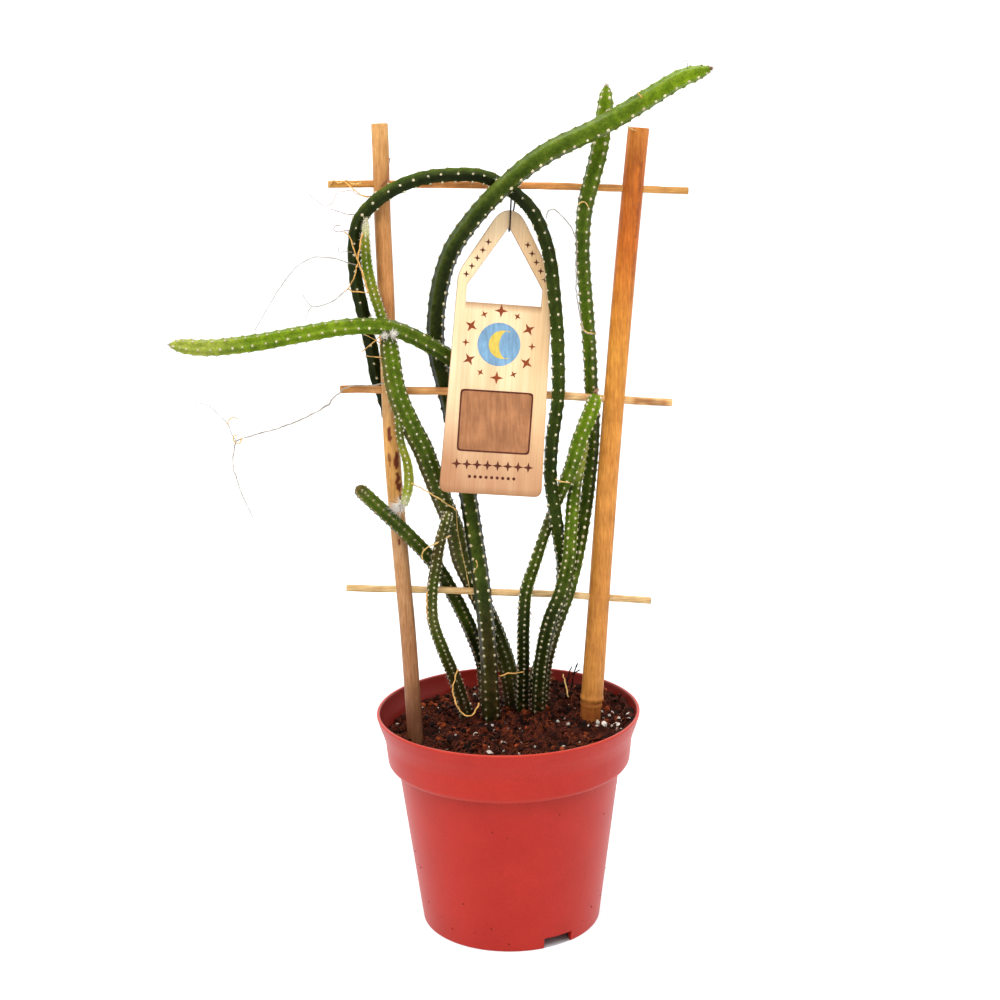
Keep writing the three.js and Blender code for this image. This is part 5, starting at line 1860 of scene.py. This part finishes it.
STEMS: tuple[Stem, ...] = (
    Stem("front_stem", "stem_front", "stem", (
        Shoot(FRONT_LINE, 5, (4.6, 5.4),
            ((0, BLACKISH), (0.08, OLD), (0.15, OLD), (0.22, DEEP), (0.27, BLACKISH), (0.6, BLACKISH),
             (0.68, DEEP), (0.75, MID), (0.82, LEAF), (0.9, FRESH), (0.97, BRIGHT)),
            first=36, tip=Tip.POINTED, crest_and_highlight_share=0.3, wool_size=0.66, bare=((4, 0.42),), flush=HIGHLIGHT_GREEN,
            side_tone_and_highlight_share=0.45, side_tone_and_highlight_way=(-0.3, -0.45, 0.85)),
        Shoot(ARM_LINE, 6, (5.8, 4.3),
            ((0, DEEP), (0.25, MID), (0.36, LEAF), (0.5, FRESH), (0.6, BRIGHT), (0.8, BRIGHT), (0.9, LIME),
             (1, LIME)),
            first=-10, tip=Tip.POINTED, groove=0.17, crest_and_highlight_share=0.4, wool_size=0.52),
    ), 1),
    Stem("left_tall_stem", "stem_left_tall", "stem", (
        Shoot(LEFT_TALL_LINE, 8, (2.9, 3.4),
            ((0, BLACKISH), (0.1, OLD), (0.18, MOSS), (0.27, DEEP), (0.37, BLACKISH), (0.46, MOSS),
             (0.58, MOSS), (0.7, MID), (0.8, LEAF), (1, FRESH)),
            first=10, groove=0.13, crest_and_highlight_share=0.15, wool_size=0.48, side_tone_and_highlight_share=0.55),
        Shoot(DROP_LINE, 5, (2.6, 2.6),
            ((0, FRESH), (0.25, MOSS), (0.4, OLIVE), (0.6, OLIVE), (0.85, LIME), (1, CREAM)),
            groove=0.14, wool=WHITE, wool_size=0.44),
        Shoot(YOUNG_LINE, 6, (2.4, 2.2),
            ((0, OLIVE), (0.2, FRESH), (0.45, OLIVE), (0.65, FRESH), (0.85, OLIVE), (1, CREAM)),
            groove=0.12, wool=WHITE, wool_size=0.44, tip=Tip.POINTED),
    ), 2),
    Stem("left_slim_stem", "stem_left_slim", "stem", (
        Shoot(LEFT_SLIM_LINE, 6, (2.7, 2.7),
            ((0, BLACKISH), (0.2, OLD), (0.34, OLD), (0.46, MID), (0.6, MOSS), (0.72, MID), (0.85, OLD),
             (1, MOSS)),
            first=12, groove=0.14, wool_size=0.48, side_tone_and_highlight_share=0.35),
    ), 3),
    Stem("left_low_stem", "stem_left_low", "stem_dark", (
        Shoot(LEFT_LOW_LINE, 6, (3.0, 3.2),
            ((0, OLD), (0.15, OLD), (0.25, BLACKISH), (0.36, BLACKISH), (0.45, MID), (0.6, DEEP),
             (0.75, MID), (0.88, MID), (0.95, LEAF), (0.985, MOSS), (1, BROWN)),
            first=18, groove=0.14, wool=BUFF, wool_size=0.48, side_tone_and_highlight_share=0.2),
    ), 4),
    Stem("arch_stem", "stem_arch", "stem_dark", (
        Shoot(ARCH_LINE, 5, (4.0, 7.0),
            ((0, BLACKISH), (0.08, DEEP), (0.15, DEEP), (0.25, MID), (0.35, DEEP), (0.45, MID),
             (0.55, DEEP), (0.65, BLACKISH), (0.78, DEEP), (1, BLACKISH)),
            first=30, twist=-30, crest=LEAF, crest_and_highlight_share=0.4, flush=HIGHLIGHT_GREEN, side_tone_and_highlight_share=0.36,
            side_tone_and_highlight_way=(-0.25, 0, 1)),
    ), 5),
    Stem("right_tall_stem", "stem_right_tall", "stem", (
        Shoot(RIGHT_TALL_LINE, 5, (3.2, 4.8),
            ((0, BLACKISH), (0.06, OLD), (0.14, OLD), (0.25, MID), (0.31, LEAF), (0.37, MID), (0.45, MID),
             (0.52, LEAF), (0.6, LEAF), (0.66, FRESH), (0.75, LEAF), (0.85, LEAF), (0.92, FRESH),
             (1, BRIGHT)),
            twist=25, tip=Tip.POINTED, crest_and_highlight_share=0.22, wool_size=0.68),
    ), 6),
    Stem("right_inner_stem", "stem_right_inner", "stem_young", (
        Shoot(RIGHT_INNER_LINE, 6, (2.9, 3.4),
            ((0, BLACKISH), (0.28, BLACKISH), (0.4, DEEP), (0.5, MID), (0.6, MID), (0.68, MOSS),
             (0.76, LEAF), (0.86, FRESH), (1, BRIGHT)),
            groove=0.15, crest_and_highlight_share=0.2),
    ), 7),
    Stem("right_short_stem", "stem_right_short", "stem", (
        Shoot(RIGHT_SHORT_LINE, 6, (3.0, 3.5),
            ((0, BLACKISH), (0.22, DEEP), (0.36, DEEP), (0.48, DEEP), (0.6, MID), (0.7, LEAF),
             (0.78, FRESH), (0.86, LEAF), (0.93, LIME), (1, LIME)),
            first=25, groove=0.16, crest_and_highlight_share=0.3),
    ), 8),
)

TUFTS: tuple[Tuft, ...] = (
    Tuft((-51.0, -23.2, 273.8), (-0.4, -0.5, 1), 110, 3.8, 0.6, PALE_DOWN, 91),
    Tuft((-48.2, -23.2, 274.2), (0.4, -0.5, 1), 120, 4.2, 0.6, PALE_DOWN, 99),
    Tuft((-46.6, -17.4, 200.2), (-0.8, -0.5, -0.2), 220, 8.6, 0.62, PALE_DOWN, 92),
    Tuft((-57.5, -17.5, 321.6), (0.1, -0.2, 1), 50, 2.0, 0.4, CREAM, 93),
    Tuft((38.9, -14.6, 245.8), (0.3, -0.4, 1), 80, 2.6, 0.45, colour(196, 150, 130), 94),
    Tuft((84.4, -28.0, 380.1), (1, -0.1, 0.2), 60, 2.0, 0.35, colour(150, 110, 80), 95),
    Tuft((44.0, -14.0, 374.2), (0.1, -0.1, 1), 50, 2.0, 0.4, colour(190, 170, 120), 96),
    Tuft((-139.8, -20.5, 273.1), (-1, 0, 0.1), 40, 1.6, 0.5, BUFF, 97),
    Tuft((34.9, -8.5, 224.2), (0.3, 0, 1), 30, 1.8, 0.4, CREAM, 98),
)


# ---------------- roots and straws


STRAND_SIDES = 6
THICKEST_STRAND = 0.34


@dataclass(frozen=True)
class Strand:
    """An aerial root, a twig or a straw along given points.

    The start and the end are radii, of which no more than the thickest strand's is built.
    """

    line: Line
    start: float
    end: float
    tint: Colour

    def patch(self) -> Patch:
        """A thin tube that narrows from start to end, with small random bends.

        Returns:
            The tube.
        """
        run = smooth_line(self.line, 0.7)
        share = np.linspace(0, 1, len(run))
        radius = np.minimum(self.start + (self.end - self.start) * share, THICKEST_STRAND)
        bends = np.stack([ripple(run, 3.5, 101 + axis) for axis in range(3)], -1)
        wobble = 0.5 * radius[:, None] * bends
        radius = radius * (1 + 0.2 * ripple(run, 2.0, 105))
        shade = np.array(self.tint) * (1 + 0.12 * ripple(run, 5, 106))[:, None]
        line = np.column_stack([run + wobble, radius])
        return tube_patch(line, STRAND_SIDES, shade[:, None], (0.2, -0.3, 1))


GOLD: Colour = colour(212, 166, 96)
STRAW: Colour = colour(212, 178, 112)
GREY_ROOT: Colour = colour(164, 157, 148)
PINK_ROOT: Colour = colour(186, 158, 148)
DARK_TWIG: Colour = colour(46, 26, 18)
RED_TWIG: Colour = colour(150, 90, 70)

STRANDS: tuple[Strand, ...] = (
    Strand(((-52, -12.3, 253), (-57.3, -10.8, 252), (-64.5, -10.4, 252.1), (-69.7, -11.2, 250.7),
            (-77.6, -13, 243.8), (-88.3, -14, 238.7), (-96.9, -15, 235.9), (-106.2, -16, 233.7),
            (-112.1, -16.5, 232.2), (-115.5, -16.5, 231.1)), 0.42, 0.26, GREY_ROOT),
    Strand(((-115.5, -16.5, 231.1), (-116.3, -17, 227.3), (-117.2, -18, 221.1), (-115.8, -19, 214.7),
            (-114, -20, 208.8), (-109.9, -21, 198.9)), 0.28, 0.16, GREY_ROOT),
    Strand(((-115.5, -16.5, 231.1), (-117.4, -16, 234.9), (-118.6, -15, 238), (-122.6, -14, 242.5),
            (-127, -13, 246.3), (-132, -12, 247.4)), 0.2, 0.12, GREY_ROOT),
    Strand(((-118.6, -15, 238), (-118, -16, 240.1), (-116.2, -17, 241.1), (-114.2, -17, 240.5)), 0.3, 0.2,
            STRAW),
    Strand(((-112.5, -16.5, 232.3), (-114.2, -17.5, 230.3), (-116.3, -18, 231.1), (-116.2, -17, 233.3),
            (-114.2, -16, 233.5)), 0.34, 0.24, STRAW),
    Strand(((-60.2, -10.2, 301), (-61.4, -12, 302.8), (-64, -14, 303.9), (-68.9, -16, 305.8),
            (-73.9, -18, 307), (-80.1, -20, 307.1), (-86.6, -21, 303.8), (-93, -22, 296.6),
            (-99.6, -22, 286.8), (-105, -21.5, 278.2)), 0.2, 0.13, GREY_ROOT),
    Strand(((-58, -16.5, 317), (-59.4, -18.2, 315.5), (-60.4, -19.5, 311.1), (-61.2, -19.8, 306.8),
            (-62.6, -19, 300.6), (-65.6, -17, 294.2), (-67.7, -16, 292.5)), 0.42, 0.22, GOLD),
    Strand(((-67.7, -16, 292.5), (-71.5, -15, 289.2), (-77.3, -14, 286.9), (-81.1, -13, 286.7),
            (-83.6, -12, 289.2), (-84.8, -12, 291.4)), 0.22, 0.14, GREY_ROOT),
    Strand(((-81.1, -13, 286.7), (-83, -13, 284.3), (-84.4, -14, 281.1)), 0.16, 0.1, GREY_ROOT),
    Strand(((-66.7, -12.5, 317.1), (-64.8, -14, 315.9), (-63.6, -17, 312.7), (-62.6, -18.5, 309.3),
            (-60.3, -20.5, 301.9), (-58.7, -20.5, 296.8), (-57.6, -19.5, 292.1)), 0.22, 0.4, GOLD),
    Strand(((-65.5, -16, 293.7), (-64.3, -17.5, 292.9), (-61.1, -19.5, 292.6), (-57.8, -20.3, 292.2)), 0.3,
            0.24, GOLD),
    Strand(((-61.5, -11, 318), (-66.7, -12.5, 317.5), (-68.8, -14, 317.2), (-71, -15, 318.3),
            (-69.9, -15.5, 319.9), (-67.9, -15, 319.7)), 0.17, 0.1, RED_TWIG),
    Strand(((-60.5, -12.5, 332), (-62.7, -12.3, 333.8), (-66.1, -13, 333.7), (-69.4, -14, 332.7),
            (-70.3, -15, 330.3), (-72.1, -15, 328.5), (-74.3, -15, 328), (-76.9, -15, 329.7),
            (-79.2, -14, 331.7), (-82.1, -13, 335), (-84.4, -12, 338.3), (-79.5, -11, 338.8),
            (-72.9, -10, 338.6)), 0.15, 0.07, PINK_ROOT),
    Strand(((-60, -12.5, 324), (-62.7, -12.8, 324.2), (-65.6, -14, 324.5), (-68.2, -15, 325.4),
            (-71.7, -16, 326.7)), 0.17, 0.1, RED_TWIG),
    Strand(((-68.4, -9.6, 337.9), (-65.9, -10.4, 337.5), (-62.7, -12, 335), (-59.9, -14, 332.5),
            (-57.1, -15.5, 331.5), (-55, -15, 331.2)), 0.28, 0.34, GOLD),
    Strand(((-72.2, -9.8, 335.9), (-70.4, -9.8, 338.2), (-67.6, -10.2, 336.9), (-65, -9.8, 338.2),
            (-62.2, -10.2, 336.4), (-58.5, -11, 336.9)), 0.3, 0.3, STRAW),
    Strand(((-50.7, -12.4, 335.6), (-48.1, -11.8, 338), (-47.2, -11.4, 342), (-46.6, -11, 346.9)), 0.26, 0.16,
            RED_TWIG),
    Strand(((-47, -11, 344.9), (-45.3, -12, 348.9), (-42.3, -13, 351.1), (-39, -13.5, 351.8)), 0.14, 0.07,
            GREY_ROOT),
    Strand(((-62.5, -10.5, 308.5), (-64.5, -12.5, 308.8), (-66.6, -14, 309.3), (-68.8, -15, 308.6),
            (-69.4, -15, 311.5), (-69.3, -15, 314)), 0.16, 0.08, GREY_ROOT),
    Strand(((-53, -20, 274.1), (-55.1, -17.5, 272), (-58, -13, 269.2), (-61, -9, 266.3)), 0.3, 0.24, GOLD),
    Strand(((-53, -20, 270.8), (-55.9, -18.5, 272.7), (-59.1, -12, 273.8)), 0.22, 0.18, GOLD),
    Strand(((-52.6, -18.8, 264.9), (-56.6, -15, 264.8), (-59.1, -6, 264.3)), 0.28, 0.2, GOLD),
    Strand(((17.5, -18.8, 321), (18.5, -19.4, 324), (20.6, -19, 324.8), (24.7, -18, 321.5),
            (28.7, -17, 316.4), (31, -15, 310), (30.9, -13, 302.3), (31, -12, 295.7), (31.6, -11, 286.6),
            (33, -12.5, 277.6), (34.4, -14, 272.6), (38.3, -9.4, 271)), 0.22, 0.26, GREY_ROOT),
    Strand(((31.7, -16.2, 326.2), (32.9, -17, 327.5), (34.6, -16.9, 327.2), (35.9, -16.3, 324.9)), 0.3, 0.24,
            STRAW),
    Strand(((33.2, -9, 275.4), (35.2, -10, 272.3), (39.4, -8.4, 271.1)), 0.34, 0.3, STRAW),
    Strand(((-41.8, -19, 210.5), (-40.6, -19.3, 209.7), (-32.2, -18, 204.3), (-22.4, -12.4, 196.3)), 0.26,
            0.4, STRAW),
    Strand(((-26.1, -17, 186.2), (-32, -18, 183.2), (-37.7, -18.4, 180.3), (-38.3, -18.4, 178.7),
            (-38.3, -18, 176.4)), 0.3, 0.3, STRAW),
    Strand(((-36.4, -15.4, 161.4), (-36.6, -14.6, 154.3), (-36.2, -13, 148.4), (-34.2, -12, 143)), 0.4, 0.4,
            GOLD),
    Strand(((-14.9, -16.2, 174.6), (-14.1, -16.6, 172.4), (-15.9, -17, 169.2)), 0.3, 0.26, STRAW),
    Strand(((20.5, -18.8, 209.6), (23.5, -19.6, 208.7), (27, -17.4, 207.8)), 0.3, 0.24, STRAW),
    Strand(((8.7, -16.2, 150.4), (11, -18, 145.9), (13.6, -17.2, 140.8)), 0.14, 0.1, RED_TWIG),
    Strand(((-0.8, -14, 153.8), (-2.2, -11, 149.7), (-5.6, -12, 145.5)), 0.12, 0.09, RED_TWIG),
    Strand(((-22.5, -12.2, 203), (-22.1, -11.4, 187.8), (-19.1, -12, 169.9), (-16.7, -16, 156.5)), 0.14, 0.14,
            STRAW),
    Strand(((-22.7, -5, 121.5), (-24.8, -7.4, 117.2), (-25.9, -10, 112.6), (-24.8, -14, 108.4),
            (-21.9, -18, 104.6), (-18.4, -20, 104.4), (-14.7, -17, 109)), 0.42, 0.36, GOLD),
    Strand(((-4.7, -9.6, 118.5), (-1.7, -10, 119.6), (1.4, -9.6, 119.6), (6.7, -6.6, 118.8)), 0.34, 0.3,
            GOLD),
    Strand(((28.6, 22, 107), (28.5, 14, 105.6), (28.7, 6, 101.4)), 0.42, 0.42, STRAW),
    Strand(((31, 31, 97), (32.1, 30, 103), (33.5, 27, 109.4)), 0.8, 0.4, DARK_TWIG),
    Strand(((34, 32, 97), (35, 30, 104), (36.5, 28, 110.6)), 0.7, 0.36, DARK_TWIG),
    Strand(((30, 28, 97), (32.8, 27, 104.5), (37, 24, 108.4)), 0.6, 0.4, DARK_TWIG),
    Strand(((39, 26, 97), (40.6, 24, 102.5), (43.5, 22, 105.5)), 0.6, 0.4, DARK_TWIG),
    Strand(((74.9, -28, 380.2), (75, -28.2, 382.4), (74.2, -28.4, 384), (73.3, -28.4, 383)), 0.13, 0.09,
            DARK_TWIG),
    Strand(((56.2, -29.2, 369.1), (54.4, -28.6, 371.1), (53.6, -28, 372.3)), 0.3, 0.14, GOLD),
    Strand(((53.5, -11, 358.2), (55.7, -12.2, 356.7), (59.8, -11.4, 356.1)), 0.3, 0.22, STRAW),
)


def build_strands() -> None:
    """Makes the roots and twigs, and the bristles at the tips."""
    add_piece("aerial_roots", merged([strand.patch() for strand in STRANDS]), ROOT)
    add_piece("tip_bristles", merged([tuft.patch() for tuft in TUFTS]), SPINE)


SPECKS = 26
SEEN_SPECKS: Line = ((199, 31), (203, 15), (327, 37), (331, 17), (262, 4), (322, 12))


def build_specks() -> None:
    """Makes the few grains of soil on the outside of the pot.

    The seen specks are those of the photo, as angle and height. The others are random.
    """
    draw = np.random.default_rng(111)
    turn = np.radians(draw.uniform(180, 360, SPECKS))
    z = 6 + 80 * draw.uniform(0, 1, SPECKS) ** 1.6
    known = len(SEEN_SPECKS)
    turn[:known] = np.radians([angle for angle, _ in SEEN_SPECKS])
    z[:known] = [height for _, height in SEEN_SPECKS]
    places = rings(POT.inner_radius(z) + POT.wall + 0.05, z, turn)
    sizes = draw.uniform(0.2, 0.5, (SPECKS, 1)) * np.ones(3)
    tints = np.broadcast_to(SOIL.dark, places.shape)
    specks = scattered(lump_shape(), places, random_axes(draw, SPECKS), sizes, tints)
    add_piece("soil_specks", specks, PEAT)


# ---------------- studio


def set_place(thing: bpy.types.Object, axes: Sequence[Array], place: Array) -> None:
    """Puts an object in its place, in metres, with its own three axes.

    Args:
        thing: The object.
        axes: Its three axes, each of length 1.
        place: Its place in metres.
    """
    matrix = np.eye(4)
    matrix[:3, :3] = np.stack(axes, 1)
    matrix[:3, 3] = place
    thing.matrix_world = Matrix(matrix.tolist())


@dataclass(frozen=True)
class Lamp:
    """Square soft light that faces a point, in metres and watts."""

    name: str
    place: Point
    size: float
    power: float
    toward: Point = (0, 0, 0.2)

    def build(self) -> None:
        """Makes the light and turns it to its point."""
        light = bpy.data.lights.new(self.name, "AREA")
        light.shape = "SQUARE"
        light.size = self.size
        light.energy = self.power
        ahead = unit(np.array(self.toward, float) - np.array(self.place, float))
        right = unit(np.cross(ahead, (0, 0, 1)))
        set_place(in_scene(self.name, light), (right, np.cross(right, ahead), -ahead), np.array(self.place))


LAMPS: tuple[Lamp, ...] = (
    Lamp("key_light", (-0.5, -1.1, 1.9), 1.4, 34),
    Lamp("side_light", (1.5, -0.5, 1.4), 1.0, 8),
    Lamp("back_light", (0.2, 1.3, 1.6), 0.8, 5),
)


@dataclass
class Studio:
    """Pale floor, soft lights and the camera of the picture.

    The pitch, yaw, roll and turn of the trellis are in degrees. The floor's radii are in
    metres: its middle, the edge of the shade under the pot, a ring between and its edge.
    """

    focal_mm: float = 57.6
    sensor_mm: float = 36.0
    camera_mm: Point = (-72.6, -691.2, 349.0)
    pitch: float = 12.31
    yaw: float = -0.17
    roll: float = -1.03
    trellis_turn: float = 6.0
    floor_radii: tuple[float, ...] = (0.02, 0.0405, 0.3, 14.0)
    floor_sides: int = 96
    paper: tuple[float, ...] = (0.55, 0.57, 0.58, 1)
    paper_light: tuple[float, ...] = (0.97, 0.99, 1, 1)
    paper_glow: float = 0.45
    sky_way: Point = (0, 0.8, 0.6)
    sky_range: Pair = (-0.6, 0.5)
    front_glow: float = 0.5
    back_glow: float = 1.5

    def camera(self) -> None:
        """Camera that looks down by the pitch, turned and rolled a little."""
        p, w, r = (math.radians(angle) for angle in (self.pitch, self.yaw, self.roll))
        forward = np.array([math.sin(w) * math.cos(p), math.cos(w) * math.cos(p), -math.sin(p)])
        level = np.array([math.cos(w), -math.sin(w), 0])
        upright = np.cross(level, forward)
        right = level * math.cos(r) + upright * math.sin(r)
        up = -level * math.sin(r) + upright * math.cos(r)
        turn = math.radians(self.trellis_turn)
        c, s = math.cos(turn), math.sin(turn)
        spin = np.array([[c, s, 0], [-s, c, 0], [0, 0, 1]])
        lens = bpy.data.cameras.new("camera")
        lens.sensor_width = self.sensor_mm
        lens.lens = self.focal_mm
        lens.clip_start = 0.01
        view = in_scene("camera", lens)
        place = np.array(self.camera_mm) * METRES_PER_MM
        set_place(view, (spin @ right, spin @ up, -(spin @ forward)), place)
        bpy.context.scene.camera = view

    def floor(self) -> None:
        """Large pale disc, lit from below like a light table except under the pot."""
        points = rings(np.array(self.floor_radii)[:, None], 0.0, turns(self.floor_sides))
        patch = grid_patch(points, self.paper[:3])
        quads, middle = patch.quads.tolist(), patch.triangles[: self.floor_sides].tolist()
        mesh = bpy.data.meshes.new("floor")
        mesh.from_pydata(patch.points.tolist(), [], middle + quads)
        for name, glow in (("paper_in_shade", 0.0), ("pale_paper", self.paper_glow)):
            paper = bpy.data.materials.new(name)
            paper.use_nodes = True
            shader = next(node for node in paper.node_tree.nodes if node.type == "BSDF_PRINCIPLED")
            set_inputs(shader, Base_Color=self.paper, Roughness=0.9, Specular_IOR_Level=0.05,
                       Emission_Color=self.paper_light, Emission_Strength=glow)
            mesh.materials.append(paper)
        shaded = 2 * self.floor_sides
        lit = len(quads) + len(middle) - shaded
        mesh.polygons.foreach_set("material_index", [0] * shaded + [1] * lit)
        in_scene("floor", mesh)

    def sky(self) -> None:
        """White sky all round, brighter behind and above the plant than behind the camera."""
        world = bpy.data.worlds.new("studio")
        world.use_nodes = True
        tree = world.node_tree
        sky = next(node for node in tree.nodes if node.type == "BACKGROUND")
        set_inputs(sky, Color=(1, 1, 1, 1))
        way = tree.nodes.new("ShaderNodeTexCoord")
        lean = tree.nodes.new("ShaderNodeVectorMath")
        lean.operation = "DOT_PRODUCT"
        lean.inputs[1].default_value = self.sky_way
        spread = tree.nodes.new("ShaderNodeMapRange")
        set_inputs(spread, From_Min=self.sky_range[0], From_Max=self.sky_range[1], To_Min=self.front_glow,
                   To_Max=self.back_glow)
        tree.links.new(way.outputs["Generated"], lean.inputs[0])
        tree.links.new(lean.outputs["Value"], spread.inputs["Value"])
        tree.links.new(spread.outputs["Result"], sky.inputs["Strength"])
        bpy.context.scene.world = world

    def build(self) -> None:
        """Sets up the whole studio."""
        self.camera()
        self.floor()
        for lamp in LAMPS:
            lamp.build()
        self.sky()
        bpy.context.scene.view_settings.view_transform = "Standard"


def main() -> None:
    """Builds the studio and every part of the plant in order."""
    logging.basicConfig(level=logging.INFO, format="%(name)s %(message)s")
    Studio().build()
    POT.build()
    SOIL.build()
    for bar in TRELLIS:
        bar.build()
    HangingTag().build()
    HangingWire().build()
    for stem in STEMS:
        stem.build()
    build_strands()
    build_specks()


if __name__ == "__main__":
    main()
